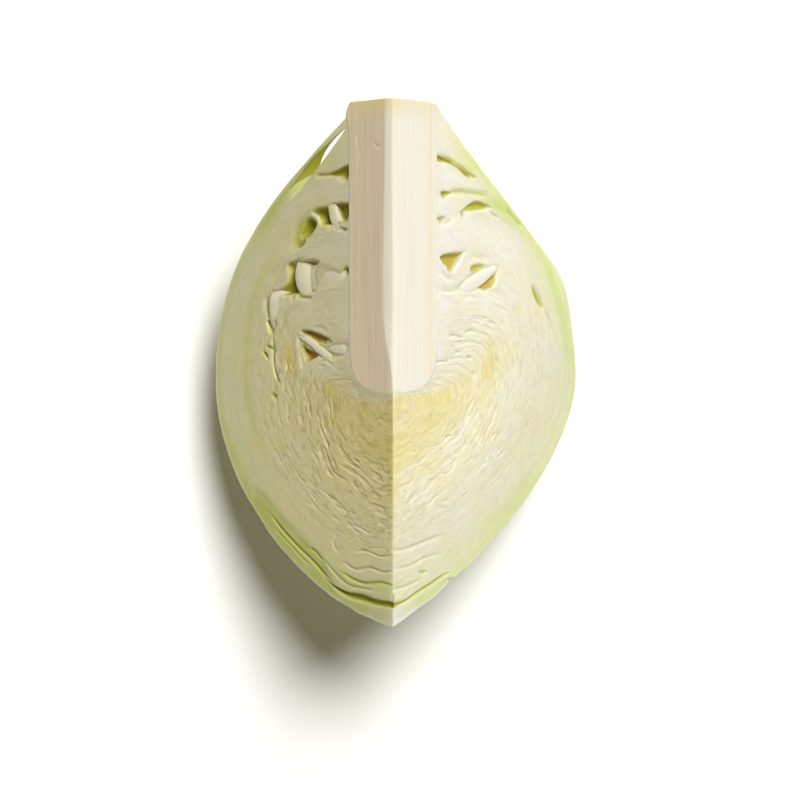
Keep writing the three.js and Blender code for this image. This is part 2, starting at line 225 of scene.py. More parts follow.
def heart_curve(part, side, clearance):
    belly = mix(HEART_BELLY[side], BUD_RADIUS, part)
    base = mix(HEART_BASE[side], CORE_OUTLINE_LENGTH - 1.4, part)
    root_r, root_h = leaf_root(base)
    normal_r, normal_h = outline_normal(base)
    widest = belly_height(side, belly)
    lift = (1 - part) ** 2
    reach = root_r + (0.14 + 0.46 * normal_r) * (belly - root_r)
    rise = root_h + 0.8 * normal_h * (widest - root_h) - 4.6 * lift
    shoulder = mix(root_h, widest, 0.35) - 6.6 * lift
    return (base - clearance, belly + clearance, reach + 0.7 * clearance,
            rise - 0.9 * clearance, shoulder - 0.9 * clearance)


def heart_leaf(index):
    outer, inner = index / HEART_LEAVES, (index + 1) / HEART_LEAVES
    crown = (mix(*HEART_CROWN, outer), mix(*HEART_CROWN, inner) + HEART_CLEARANCE)
    sides = [(heart_curve(outer, side, 0), heart_curve(inner, side, HEART_CLEARANCE))
             for side in (0, 1)]
    return (f"heart_leaf_{index + 1:02d}", crown, *sides)


LEAVES = WRAPPING_LEAVES + [heart_leaf(index) for index in range(HEART_LEAVES)]
leaf_noises = [Noise(40 + level) for level in range(len(LEAVES) + 1)]


def bezier(p0, p1, p2, p3, t):
    u = 1 - t
    return u ** 3 * p0 + 3 * t * u ** 2 * p1 + 3 * t ** 2 * u * p2 + t ** 3 * p3


def curve_point(shape, crown, side, along):
    """r and h on a leaf surface; along is 0 at the core, 1 at the belly, 2 on the axis."""
    base, belly, reach, rise, shoulder = shape
    widest = belly_height(side, belly)
    root_r, root_h = leaf_root(base)
    up = np.clip(along, 0, 1)
    down = np.clip(along - 1, 0, 1)
    innerness = smooth(-88, -30, -belly)
    roundness = mix(mix(0.475, 0.38, side), 0.52, innerness)
    flatness = mix(mix(0.485, 0.405, side), mix(0.62, 0.56, side), innerness)
    droop = mix(mix(0.1, 0.37, side), mix(0.03, 0.42, side), innerness)
    turn = flatness * belly
    upper_r = bezier(root_r, reach, belly, belly, up)
    upper_h = bezier(root_h, rise, shoulder, widest, up)
    lower_r = bezier(belly, belly, turn, 0, down)
    lower_h = bezier(widest, widest + roundness * (crown - widest), crown - droop * turn, crown, down)
    return np.where(along > 1, lower_r, upper_r), np.where(along > 1, lower_h, upper_h)


def side_of(phi):
    return smooth(-CUT_ANGLE, CUT_ANGLE, phi)


def outer_margin(along):
    """phi of the outermost leaf's right margin: a strap at the core, then half of the back, and
    all of the wedge round the crown."""
    strap = 1.5 + 10 * smooth(0.03, 0.32, along)
    widened = (OUTER_LEAF_EDGE + CUT_ANGLE - 11.5) * smooth(0.28, 0.54, along)
    wander = 1.6 * np.sin(9 * along) * smooth(0.5, 0.8, along) * smooth(1.7, 1.4, along)
    wrapped = (CUT_ANGLE - OUTER_LEAF_EDGE) * smooth(1.6, 1.8, along)
    return np.minimum(strap + widened + wander + wrapped - CUT_ANGLE, CUT_ANGLE)


def bareness(phi, along):
    """1 where the second leaf is outermost, 0 where the outermost leaf covers it."""
    margin = outer_margin(np.maximum(along, 0.6))
    return smooth(0, 6, phi - margin)


def leaf_surface(level, surface, phi, along):
    """r and h of the outer (0) or inner (1) surface of a leaf."""
    name, crown, left, right = LEAVES[level]
    side = side_of(phi)
    if level == 1 and surface == 0:
        covered = blend_curves(left[0], SECOND_LEAF_COVERED, side)
        bare = blend_curves(LEAVES[0][2][0], right[0], side)
        covered_r, covered_h = curve_point(covered, crown[0], side, along)
        bare_r, bare_h = curve_point(bare, LEAVES[0][1][0], side, along)
        part = bareness(phi, along)
        return mix(covered_r, bare_r, part), mix(covered_h, bare_h, part)
    shape = blend_curves(left[surface], right[surface], side)
    return curve_point(shape, crown[surface], side, along)


def place(r, h, phi):
    angle = np.radians(phi)
    x = RIDGE_X + r * np.sin(angle)
    z = RIDGE_Z - r * np.cos(angle)
    return np.stack([x, STEM_END_Y - h, z], -1)


# --- Crinkles, gaps and veins ---

def leaf_normal(r, h):
    """Unit normal in r and h of a surface whose rows run along the leaf, away from the axis."""
    slope_r, slope_h = np.gradient(r, axis=0), np.gradient(h, axis=0)
    length = np.maximum(np.hypot(slope_r, slope_h), 1e-6)
    return slope_h / length, -slope_r / length


def ripple_size(level, along):
    """How far the boundary above a leaf wanders, which thin outer leaves have little room for."""
    heart = smooth(5.5, 13, level)
    return mix(0.15, 0.75, heart) * smooth(0.0, 0.6, along) * smooth(0, 1.5, level)


def ripple(level, r, h, phi, along):
    """Moves a boundary surface by the noise of its own level."""
    points = place(r, h, phi)
    noise = leaf_noises[level]
    amount = ripple_size(level, along) * (0.6 * noise(points, 8) + 0.4 * noise(points, 3.2))
    normal_r, normal_h = leaf_normal(r, h)
    fade = smooth(0, 6, r)
    return r + amount * normal_r * fade, h + amount * mix(1, normal_h, fade)


def warp(r, h, phi, level, along):
    """Crinkles that neighbouring leaves share. They fade out towards the outermost leaves."""
    points = place(r, h, phi)
    strength = smooth(2, 13, level) * smooth(0.35, 1.05, along + 0.05 * np.maximum(level - 11, 0))
    strength = strength * smooth(0, 0.25, along)
    wide, fine = 1.1 * strength, 0.6 * strength
    across = wide * warp_across(points, 15) + fine * warp_across(points, 4.6)
    lengthways = wide * warp_along(points, 15) + fine * warp_along(points, 4.6)
    return r + across * smooth(0, 9, r), h + lengthways


OPEN_GAP = 0.03
VEIN_MIDDLES = (-17, 34)            # phi of the midrib of the two outermost leaves
SIDE_VEIN_SPACING = 17
MIDRIB_WIDTH = 4.2


def side_veins(sideways, length, spacing, slant, wander):
    """Closeness to the nearest of a row of veins that branch off a midrib and curve upwards."""
    outwards = np.abs(sideways)
    shift = np.where(sideways > 0, 0.5, 0) + 0.16 * wander
    across = (length - slant * outwards - 0.006 * outwards ** 2) / spacing + shift
    distance = np.abs(across - np.round(across)) * spacing / math.hypot(1, slant)
    width = 0.45 + 1.0 * np.exp(-outwards / 26)
    return np.exp(-(distance / width) ** 2) * smooth(62, 30, outwards)


def veins(level, phi, r, h, length):
    """Closeness to the midrib or a side vein on the skin of an outermost leaf, from 0 to 1."""
    points = place(r, h, phi)
    wander = vein_noise(points, 19)
    sideways = r * np.radians(phi - VEIN_MIDDLES[level]) + 1.6 * wander
    taper = smooth(215, 20, length)
    midrib = np.exp(-(sideways / (0.7 + MIDRIB_WIDTH * taper)) ** 2) * (0.35 + 0.65 * taper)
    strong = side_veins(sideways, length, SIDE_VEIN_SPACING, 0.95, wander)
    weak = side_veins(sideways + 3 * wander, length + 4, SIDE_VEIN_SPACING / 3, -0.7, wander)
    return np.clip(np.maximum(midrib, np.maximum(0.8 * strong, 0.3 * weak)), 0, 1)


def outer_silhouette(level, r, h, phi, along):
    """Gentle waves, raised veins and the right shoulder of the outermost surfaces."""
    points = place(r, h, phi)
    wave = 0.5 + 0.5 * silhouette_noise(points, 26)
    small = (0.5 + 0.5 * silhouette_noise(points, 8)) * (1 + smooth(1.1, 1.4, along))
    low_veins = 0.6 * (1 - veins(level, phi, r, h, leaf_lengths(r, h)))
    normal_r, normal_h = leaf_normal(r, h)
    left, right = cut_depths(r, phi)
    away = smooth(0, 6, np.minimum(left, right))
    end = smooth(0, 0.25, along) * smooth(2.0, 1.9, along)
    shoulder = 2.5 * np.exp(-((h - 57.5) / 10.5) ** 2) * side_of(phi) ** 2
    amount = (0.4 * wave + 0.3 * small + low_veins * away - shoulder) * end
    return r - amount * normal_r, h - amount * normal_h


def leaf_lengths(r, h):
    """Distance from the root along the leaf, for rows that run along it."""
    steps = np.hypot(np.diff(r, axis=0), np.diff(h, axis=0))
    return np.concatenate([np.zeros_like(r[:1]), np.cumsum(steps, axis=0)])


def gap_share(points, gap):
    """How much of the clearance to the next leaf is closed: 1 where the leaves touch."""
    opened = OPEN_GAP * smooth(0.3, 0.8, gap_noise(points, 9))
    return 1 - np.minimum(opened / np.maximum(gap, OPEN_GAP), 1)


def leaf_boundaries(level, phi, along):
    """Outer and inner r and h of a leaf, with crinkles and gaps."""
    outer_r, outer_h = leaf_surface(level, 0, phi, along)
    inner_r, inner_h = leaf_surface(level, 1, phi, along)
    if level + 1 == len(LEAVES):
        inner_r = 0.05 * inner_r
    else:
        next_r, next_h = leaf_surface(level + 1, 0, phi, along)
        gap = np.hypot(next_r - inner_r, next_h - inner_h)
        share = gap_share(place(inner_r, inner_h, phi), gap)
        share = share * smooth(0.14, 0.3, along) if level == 0 else share
        inner_r, inner_h = mix(inner_r, next_r, share), mix(inner_h, next_h, share)
    if level == 0:
        outer_r, outer_h = outer_silhouette(0, outer_r, outer_h, phi, along)
    elif level == 1:
        waved = outer_silhouette(1, outer_r, outer_h, phi, along)
        bare = bareness(phi, along)
        outer_r, outer_h = mix(outer_r, waved[0], bare), mix(outer_h, waved[1], bare)
    else:
        outer_r, outer_h = ripple(level, outer_r, outer_h, phi, along)
        outer_r, outer_h = warp(outer_r, outer_h, phi, level, along)
    if level >= 1:
        inner_r, inner_h = ripple(level + 1, inner_r, inner_h, phi, along)
        inner_r, inner_h = warp(inner_r, inner_h, phi, level + 1, along)
    return outer_r, outer_h, inner_r, inner_h


# --- Hollows, grooves and tints of the cut faces ---
# A hollow is (depth, softness of its edge, how warm the painted shade inside it is, outline of (r, h)
# corners).

HOLLOWS = {
    LEFT: [
        (2.6, 0.7, 0.1, [(31, 23.4), (26, 21.9), (20.2, 20.6), (21.2, 24.7), (24.5, 24.4)]),
        (3.6, 0.8, 0.1, [(38.4, 35.4), (35.5, 34.2), (31, 33.8), (27.6, 33), (23.5, 32.9), (20, 33.3),
            (19.6, 35.2), (21.8, 38.2), (25, 38.8), (28, 39.6), (30.2, 39.8), (34.3, 39.6), (34.6, 38.2),
            (36.2, 37)]),
        (3.2, 2.4, 0, [(45.4, 43.4), (43.6, 39.6), (41.6, 37.4), (38.6, 36.9), (36.2, 38.4), (36, 40.4),
            (38.6, 42.6), (41.6, 43.8)]),
        (2, 0.8, 0.2, [(47, 46.8), (44.6, 44.4), (41, 44.3), (43.4, 46.8)]),
        (0.9, 4.5, 0, [(49, 48), (48, 40), (44, 36), (39, 35), (42, 43), (44, 48)]),
        (3, 1.8, 0.5, [(50.6, 52), (46.6, 51.2), (37, 51.4), (36.6, 56), (36.6, 61.4), (45, 62.4),
            (52, 62.6), (59.4, 61.6), (54, 60), (51.2, 58.2), (50.4, 55.5)]),
        (0.5, 1.8, 0.3, [(39, 52), (34, 52.2), (27, 54), (23, 55), (25, 59), (32, 60.6), (39, 61)]),
        (1.4, 1.2, 0.6, [(41.6, 51.2), (38, 50.7), (34.6, 51.7), (38, 54.4)]),
        (1.8, 0.8, 0.5, [(25, 55.4), (22.2, 53.6), (20.3, 55.4), (22.6, 57.4), (25.6, 58)]),
        (0.35, 4, 0.5, [(60, 54), (54, 51.2), (48, 51.6), (48.6, 60.8), (57, 61.4)]),
        (1, 2.2, 0.1, [(61.6, 62.8), (58.6, 62.2), (57.8, 66), (57.6, 69.5), (60.2, 70.4), (62, 66)]),
        (1.8, 0.9, 0.1, [(60.6, 70.6), (57.4, 71.2), (55.4, 71.4), (56.4, 73.4), (57.6, 75.6),
            (59.8, 74)]),
        (1.6, 0.6, 0.4, [(62.6, 80.8), (61.6, 82.6), (59.6, 83.8), (60.2, 81.8)]),
        (1.3, 0.9, 0.4, [(58, 95), (55.4, 95.4), (55.8, 96.9), (57.6, 97)]),
        (2.6, 0.7, 1, [(44.4, 74.5), (40.2, 74.2), (36, 75.2), (31, 76.8), (26.2, 77.5), (29, 78.9),
            (32, 79.4), (36, 78.4), (41, 76.4)]),
        (2.6, 0.8, 1, [(43.8, 79.4), (40, 80.6), (35, 82.3), (38.4, 84), (42, 85)]),
        (0.6, 1.4, 0.6, [(46, 77), (44, 75.4), (30, 78.4), (21.6, 77.6), (21.4, 82), (27, 84.4),
            (35, 83.6), (41, 86), (42.6, 90), (44.8, 84)]),
        (2.2, 0.8, 0, [(36, 153.4), (29, 157.4), (22, 159.7), (15, 160.2), (8, 161.6), (-3, 162.4),
            (-3, 164.2), (8, 163.9), (14, 163), (22, 161.7), (30, 157.9)]),
        (0.4, 3, 0, [(66, 126), (50, 137), (45, 140), (40, 144.3), (36, 146), (31, 150.5), (27.5, 157),
            (29, 162), (40, 160), (68, 140)]),
    ],
    RIGHT: [
        (2.1, 0.9, 0.1, [(20.2, 17.5), (25, 18), (31, 19.8), (36, 22.2), (39.6, 23.9), (35, 24),
            (30.6, 21.4), (26, 19.9), (21.2, 19.4)]),
        (1.8, 0.8, 0.2, [(22.4, 29.2), (28.4, 29.3), (25.8, 30.6), (24, 32)]),
        (1.8, 1, 0, [(32.8, 35.2), (36, 32.6), (40.2, 31.4), (46.6, 33.3), (40.8, 34.7), (36.6, 35.1)]),
        (1.6, 0.8, 0.6, [(20.6, 37.4), (28, 38.3), (23.2, 40)]),
        (1, 1.2, 0, [(45, 34.5), (50.6, 36.2), (48.2, 36.9)]),
        (2.4, 1.1, 0.7, [(22, 50.4), (26, 49.2), (33, 48.7), (34.6, 49.6), (31, 54.6), (28.6, 55.8),
            (25.6, 54), (23, 52.2)]),
        (1.6, 0.9, 0.5, [(35.6, 54.6), (37.6, 52.7), (41.2, 52.1), (45, 53.2), (41.2, 54.4)]),
        (2, 1, 1, [(49.2, 54.2), (45.6, 56), (40.4, 59.6), (43, 60.8), (47, 60.2), (49.2, 57.6)]),
        (0.7, 1.4, 0.1, [(50, 52), (40, 54.4), (34, 57), (29, 61), (34, 62), (46, 60), (50, 57)]),
        (0.6, 2.4, 0.1, [(35, 50), (41, 48.6), (47.5, 50), (41, 51.8)]),
        (1.5, 1.4, 0, [(66.4, 58), (69, 60), (71.2, 62.8), (73.2, 67), (70.8, 66.4), (68.2, 63.6),
            (66.6, 60.6)]),
        (1, 0.8, 0.1, [(11.6, 153.2), (14, 152.4), (15.6, 153.4), (13.8, 154.2)]),
    ],
}

# A groove is (depth, half width, how warm the painted shade inside it is, path of (r, h) points).

GROOVES = {
    LEFT: [
        (0.8, 0.6, 0, [(37, 23.4), (31, 23.4), (26, 23.6)]),
        (1.1, 0.5, 0.2, [(30.4, 39.8), (27, 40.9), (24.4, 41.5), (21.2, 41.9)]),
        (0.8, 0.6, 0.3, [(49.6, 63.2), (44, 63.3), (38, 63.6)]),
        (1, 0.4, 0.2, [(29, 64), (25.6, 64.4), (22.2, 64)]),
        (0.9, 0.5, 0.2, [(57.6, 74.8), (57.2, 80), (57.2, 85), (55.6, 89.6), (53.4, 92.2)]),
        (0.9, 0.4, 0.4, [(60.6, 79.4), (57.6, 80)]),
        (0.22, 0.25, 0.9, [(17, 9.6), (16.6, 13), (15.6, 16), (15.2, 20.4)]),
        (0.3, 0.35, 0.3, [(9.4, 13.8), (8.2, 14.8), (7.2, 15.6), (5.6, 16)]),
        (1.1, 0.8, 0.1, [(62, 132.6), (54, 139.8), (46, 145.6), (39, 150), (33, 154.4), (28, 157.8)]),
        (0.7, 0.6, 0.1, [(58, 139.2), (52, 143.6), (44, 149.2), (38, 153)]),
        (0.8, 0.7, 0.1, [(40, 146.4), (36.8, 147.4), (32.8, 150.6)]),
        (0.7, 0.5, 0.3, [(-1, 157.2), (6, 156.2), (13, 156.8), (19, 155.6), (25, 153.2)]),
        (0.5, 0.45, 0.3, [(-1, 152), (5, 152.8), (11, 151.6), (18, 152.4), (24, 149.6)]),
        (0.4, 0.4, 0.3, [(-1, 147), (6, 147.8), (13, 146.2), (19, 146.8)]),
        (0.45, 0.5, 0.2, [(8, 159), (15, 158.4), (21, 157.6), (28, 153.6), (34, 148.4)]),
        (0.35, 0.5, 0.2, [(26, 141), (27.6, 144.6), (25, 147.6)]),
    ],
    RIGHT: [
        (0.7, 1, 0.2, [(26, 29.4), (34, 28.9), (46, 29.6)]),
        (1.4, 0.5, 0.2, [(33.2, 35), (32, 36.2)]),
        (0.7, 0.7, 0, [(53.4, 33.4), (58, 36.6), (62, 39.6)]),
        (0.4, 0.7, 0.2, [(20.6, 54.8), (24, 56.6), (27.6, 58.2)]),
        (0.4, 0.8, 0.2, [(21.6, 61.2), (26, 61.7), (31, 61)]),
        (0.4, 1.2, 0.3, [(41, 60.8), (46, 61), (53, 62.4)]),
        (0.6, 0.6, 0.9, [(33.8, 75.4), (36.4, 74.4), (38.8, 74.8)]),
        (0.5, 0.5, 0.5, [(26, 76.6), (29, 76.2), (33.4, 77)]),
        (0.6, 0.4, 0.3, [(19.8, 85.6), (22, 84.8), (26.6, 84.8)]),
        (0.6, 0.5, 0.9, [(34.4, 83.2), (37.2, 83.4)]),
        (1.3, 0.4, 0.1, [(-2, 163.4), (5, 162.4), (12, 159.4), (18, 157), (22, 155.2), (27, 153.6)]),
        (0.5, 0.5, 0.1, [(73, 66.6), (75.2, 70.6), (76.4, 75)]),
        (0.4, 0.5, 0.1, [(-1, 158.4), (6, 157.4), (13, 155.4)]),
        (0.35, 0.5, 0.1, [(-1, 151.8), (7, 151), (15, 148.6), (23, 147.2)]),
        (0.5, 0.7, 0.1, [(-2, 145.6), (6, 145.4), (16, 143), (24, 141)]),
    ],
}

# A tint is (strength, half width, path of (r, h) points), under the mask that it adds to.

TINTS = {
    LEFT: {
        "green": [
            (1, 2.2, [(30, 12), (40, 19.6), (50, 27.6), (58, 34.4), (66, 43)]),
            (0.6, 3, [(21, 10), (26, 16), (31, 21)]),
            # This green stroke is painted shade: a soft green shading round the hollows beside the core.
            (0.9, 3, [(49, 47), (44, 40.5), (37, 36), (28, 33.6)]),
            (0.6, 1.8, [(56, 46), (60, 52), (67, 64), (70, 78), (70, 94), (66, 108), (58, 120)]),
            (1, 3, [(66, 128), (54, 138), (46, 143.6), (38, 149.2), (30, 155)]),
            (0.8, 1.3, [(34, 22.6), (42, 24.4), (50, 28.4), (57, 33.6)]),
            (0.7, 1, [(-2, 157.4), (8, 156.8), (20, 155.8), (28, 152)]),
        ],
        "pale": [
            (0.8, 4.5, [(22, 28), (34, 27.6), (46, 31), (54, 37)]),
            (0.7, 4, [(20, 46.5), (34, 46), (44, 49)]),
            (0.7, 5, [(20, 69), (34, 68.5), (48, 70)]),
            (0.9, 1.6, [(53.6, 74), (55.2, 82), (53.8, 88), (51, 93)]),
            (1.2, 1.7, [(44.8, 77), (44.2, 82), (42.6, 88)]),
            (1, 2.8, [(53, 61.5), (53, 66), (54.6, 70)]),
            (0.8, 4, [(62, 45), (74, 60), (81, 78), (81, 96), (75, 112)]),
            (0.7, 4, [(-2, 167.4), (5, 167), (12, 165.6)]),
            (0.8, 2.6, [(24, 87), (32, 86.6), (40, 88), (42, 92)]),
        ],
        "yellow": [
            (0.9, 3.4, [(48.5, 78), (49, 84), (46.5, 90)]),
            (0.8, 2, [(1, 98), (2, 112), (1, 134)]),
            (0.6, 3.5, [(10, 97.5), (22, 95), (34, 91.5)]),
        ],
    },
    RIGHT: {
        "green": [
            (1, 3.4, [(34, 14), (46, 24), (58, 34)]),
            (0.9, 2.2, [(24, 29.6), (36, 29.4), (46, 31.4), (55, 35.6), (64, 41), (71.5, 49), (78, 60),
                (83, 73), (85.6, 88)]),
            (0.8, 1.2, [(32, 34.8), (40, 35.4), (48, 36.2), (56, 38.8)]),
            (0.7, 1.6, [(22, 18.4), (32, 20.8), (39, 23.8)]),
            (0.4, 3, [(40, 143.5), (50, 137), (59, 130), (67, 121)]),
        ],
        "pale": [
            (0.8, 5, [(20, 43), (36, 41.5), (50, 45), (60, 53)]),
            (0.8, 4, [(20, 66), (34, 64.5), (48, 66)]),
            (0.8, 3, [(22, 24), (34, 26), (44, 27.5)]),
            (0.7, 4, [(-2, 167.4), (5, 167), (12, 165.6)]),
            (0.4, 3, [(60, 68), (60.4, 84), (54, 94), (45, 100), (34, 106), (26, 112), (18, 117)]),
        ],
        "yellow": [
            (0.3, 4.5, [(1, 98), (14, 97.5), (30, 96)]),
            (1.2, 2.4, [(45.6, 75), (46.2, 83), (44.4, 91)]),
            (0.6, 1.6, [(57.6, 64.6), (60.4, 69)]),
        ],
    },
}


def catmull_rom(p0, p1, p2, p3, part):
    return 0.5 * (2 * p1 + (p2 - p0) * part + (2 * p0 - 5 * p1 + 4 * p2 - p3) * part ** 2
                  + (3 * p1 - p0 - 3 * p2 + p3) * part ** 3)


def spline(points, count):
    """A smooth curve through the points."""
    points = np.array(points, float)
    padded = np.concatenate([[2 * points[0] - points[1]], points, [2 * points[-1] - points[-2]]])
    place_on = np.linspace(0, len(points) - 1 - 1e-9, count)
    cell = place_on.astype(int)
    part = (place_on - cell)[:, None]
    return catmull_rom(*(padded[cell + k] for k in range(4)), part)


def closed_spline(corners, steps=4):
    """A smooth closed curve through the corners."""
    corners = np.array(corners, float)
    part = (np.arange(steps) / steps)[None, :, None]
    neighbours = (np.roll(corners, -k, axis=0)[:, None] for k in (-1, 0, 1, 2))
    return catmull_rom(*neighbours, part).reshape(-1, 2)


def path_distance(points, line):
    """Distance of points from a polyline, and where along it, from 0 to 1, the nearest place is."""
    nearest = np.full(len(points), np.inf)
    reached = np.zeros(len(points))
    for index, (a, b) in enumerate(zip(line[:-1], line[1:])):
        edge = b - a
        part = np.clip(((points - a) @ edge) / (edge @ edge + 1e-9), 0, 1)
        distance = np.linalg.norm(points - a - part[:, None] * edge, axis=1)
        reached = np.where(distance < nearest, (index + part) / (len(line) - 1), reached)
        nearest = np.minimum(nearest, distance)
    return nearest, reached


def within(points, line):
    """Whether each point is inside a closed line."""
    inside = np.zeros(len(points), bool)
    r, h = points.T
    for a, b in zip(line, np.roll(line, -1, axis=0)):
        spans = (a[1] > h) != (b[1] > h)
        rise = b[1] - a[1] if b[1] != a[1] else 1e-9
        inside ^= spans & (r < (b[0] - a[0]) * (h - a[1]) / rise + a[0])
    return inside


def close_points(r, h, line, margin):
    low, high = line.min(0) - margin, line.max(0) + margin
    return (r > low[0]) & (r < high[0]) & (h > low[1]) & (h < high[1])


def stroke(r, h, path, half_width, fade):
    """Which places lie near a path, and how far a stroke along it covers them, from 0 to 1."""
    line = spline(path, 20)
    near = close_points(r, h, line, 2.5 * half_width)
    if not near.any():
        return near, 0
    distance, reached = path_distance(np.stack([r[near], h[near]], -1), line)
    ends = smooth(-0.02, fade, reached) * smooth(1.02, 1 - fade, reached)
    return near, np.exp(-(distance / half_width) ** 2) * ends


def hollow(r, h, corners, softness):
    """Which places lie near a hollow, and how much of its depth it has there."""
    line = closed_spline(corners)
    near = close_points(r, h, line, softness)
    if not near.any():
        return near, 0
    points = np.stack([r[near], h[near]], -1)
    distance = path_distance(points, np.concatenate([line, line[:1]]))[0]
    distance = np.where(within(points, line), distance, -distance)
    wall = smooth(-0.3 * softness, 0.9 * softness, distance)
    return near, wall * mix(0.6, 1, smooth(0, 2, distance))


def carving(face, r, h):
    """Depth of the hollows and grooves at places on a cut face, and how warm their painted shade is
    there.
    """
    depth, shade_amber = np.zeros_like(r), np.zeros_like(r)
    carved = [(hollow(r, h, corners, softness), deepest, warmth)
              for deepest, softness, warmth, corners in HOLLOWS[face]]
    carved += [(stroke(r, h, path, half_width, 0.2), deepest, warmth)
               for deepest, half_width, warmth, path in GROOVES[face]]
    for (near, share), deepest, warmth in carved:
        deeper = deepest * share > depth[near]
        shade_amber[near] = np.where(deeper, warmth, shade_amber[near])
        depth[near] = np.maximum(depth[near], deepest * share)
    return depth, shade_amber


def tinting(face, r, h):
    """Extra green, pale and yellow at places on a cut face."""
    tints = {}
    for mask, strokes in TINTS[face].items():
        tints[mask] = np.zeros_like(r)
        for strength, half_width, path in strokes:
            near, share = stroke(r, h, path, half_width, 0.15)
            tints[mask][near] += strength * share
    return tints


# --- The cut faces' shape ---

INWARD = {LEFT: np.array([1, 0, -1]) / math.sqrt(2), RIGHT: np.array([-1, 0, -1]) / math.sqrt(2)}
EDGES = ((LEFT, 0), (RIGHT, -1))    # each cut face, and its column in a block of points
RECESS_REACH = 1.6


def cut_depths(r, phi):
    """Distances in from the left and the right cut face."""
    left = r * np.sin(np.radians(np.clip(phi + CUT_ANGLE, 0, 90)))
    right = r * np.sin(np.radians(np.clip(CUT_ANGLE - phi, 0, 90)))
    return left, right


def sink(points, r, phi, recesses):
    """Lowers what lies near a cut face by its recess, and less with the distance from the face."""
    for depth, recess, inward in zip(cut_depths(r, phi), recesses, INWARD.values()):
        share = np.clip(1 - depth / (RECESS_REACH * (1 + recess[..., None])), 0, 1)
        points = points + (recess[..., None] * share)[..., None] * inward
    return points


def knife_recess(points, r):
    """The knife's gentle waves over a whole cut face, and the slightly rounded ridge."""
    waves = 0.16 * (1 + knife_noise(points, 38)) + 0.05 * (1 + knife_noise(points, 11))
    return waves * smooth(0, 14, r) + 0.42 * np.exp(-r / 1.4)


# --- Meshes ---

def lattice_faces(ids):
    """Quads on the six sides of a block of vertex numbers."""
    def quads(grid):
        corners = [grid[:-1, :-1], grid[1:, :-1], grid[1:, 1:], grid[:-1, 1:]]
        return np.stack(corners, -1).reshape(-1, 4)

    return np.concatenate([
        quads(ids[-1]), quads(ids[0])[:, ::-1],
        quads(ids[:, -1].T), quads(ids[:, 0].T)[:, ::-1],
        quads(ids[:, :, -1]), quads(ids[:, :, 0])[:, ::-1],
    ])


def drop_degenerate(quads):
    """Quads with all four corners apart, and the triangles left of those with one corner twice."""
    same = quads == np.roll(quads, -1, axis=1)
    count = same.sum(1)
    triangles = quads[count == 1][~same[count == 1]].reshape(-1, 3)
    return quads[count == 0], triangles


def signed_volume(points, triangles):
    a, b, c = (points[triangles[:, k]] for k in range(3))
    return np.einsum("ij,ij->i", a, np.cross(b, c)).sum() / 6


def add_object(name, data):
    obj = bpy.data.objects.new(name, data)
    bpy.context.scene.collection.objects.link(obj)
    return obj


def block_object(name, points, attributes, ids):
    """A closed mesh from a block of points. ids says which vertex each place of the block is."""
    quads, triangles = drop_degenerate(lattice_faces(ids))
    used, renumbered = np.unique(np.concatenate([quads.ravel(), triangles.ravel()]),
                                 return_inverse=True)
    quads = renumbered[:quads.size].reshape(-1, 4)
    triangles = renumbered[quads.size:].reshape(-1, 3)
    flat = points.reshape(-1, 3)[used] * MM
    split = np.concatenate([quads[:, :3], quads[:, [0, 2, 3]], triangles])
    if signed_volume(flat, split) < 0:
        quads, triangles = quads[:, ::-1], triangles[:, ::-1]
    mesh = bpy.data.meshes.new(name)
    mesh.from_pydata(flat, [], quads.tolist() + triangles.tolist())
    mesh.polygons.foreach_set("use_smooth", np.ones(len(mesh.polygons), bool))
    for key, values in attributes.items():
        attribute = mesh.attributes.new(key, "FLOAT", "POINT")
        spread = np.broadcast_to(values, ids.shape).reshape(-1)
        attribute.data.foreach_set("value", spread[used].astype(np.float32))
    return add_object(name, mesh)


SKIN_DEPTHS = np.array([0, 0.4, 1.4, 4])
ACROSS_SPACING = 0.5
CORNER_STRIP = 0.03


def edge_offsets(r, span, depths, fractions):
    """Angles of the grid lines beside a cut face: at these depths, then at fractions of the span."""
    steps = np.concatenate([depths, np.full(len(fractions) - len(depths), np.inf)])
    return np.minimum(np.degrees(steps / np.maximum(r, 0.05)[:, None]), span[:, None] * fractions)


def leaf_columns(level, along, left_count, right_count, split):
    """Angles of the grid lines of each row, from one edge of the leaf to the other."""
    low, high = leaf_span(level, along)
    r = leaf_surface(level, 0, (low + high) / 2, along)[0]
    left = edge_offsets(r, high - low, SKIN_DEPTHS, np.linspace(0, split, left_count + 1))
    right = edge_offsets(r, high - low, SKIN_DEPTHS, np.linspace(0, 1 - split, right_count + 1)[:-1])
    return np.concatenate([low[:, None] + left, high[:, None] - right[:, ::-1]], 1)


def across_steps(thickness):
    """Places across a leaf's cut edge, with a thin strip that turns the corner at both skins."""
    inner = np.linspace(0.12, 0.88, int(np.clip(thickness / ACROSS_SPACING, 3, 26)))
    strip = CORNER_STRIP / thickness
    return np.concatenate([[0, strip], inner, [1 - strip, 1]])


TEAR_SETBACK = 17


def leaf_span(level, along):
    """Angles of a leaf's two edges at each row."""
    low = np.full_like(along, -CUT_ANGLE)
    high = np.full_like(along, CUT_ANGLE)
    if level == 0:
        high = outer_margin(along)
    if level == 1:
        low = low + TEAR_SETBACK * (1 - smooth(0.12, 0.32, along))
    return low, high


def leaf_grid(level):
    """Row spacing, columns of the left and the right part, and where the two parts meet."""
    if level == 0:
        return 0.6, 30, 30, 0.5
    if level == 1:
        return 0.6, 8, 44, 0.6
    if level < FIRST_HEART_LEVEL:
        return 0.55, 5, 5, 0.5
    return 0.42, 5, 5, 0.5


def leaf_rows(level, spacing):
    """Values of along at even distances."""
    fine = np.linspace(0, 2, 1200)
    r, h = leaf_surface(level, 0, np.zeros_like(fine), fine)
    length = leaf_lengths(r, h)
    return np.interp(np.linspace(0, length[-1], max(int(length[-1] / spacing), 14)), length, fine)


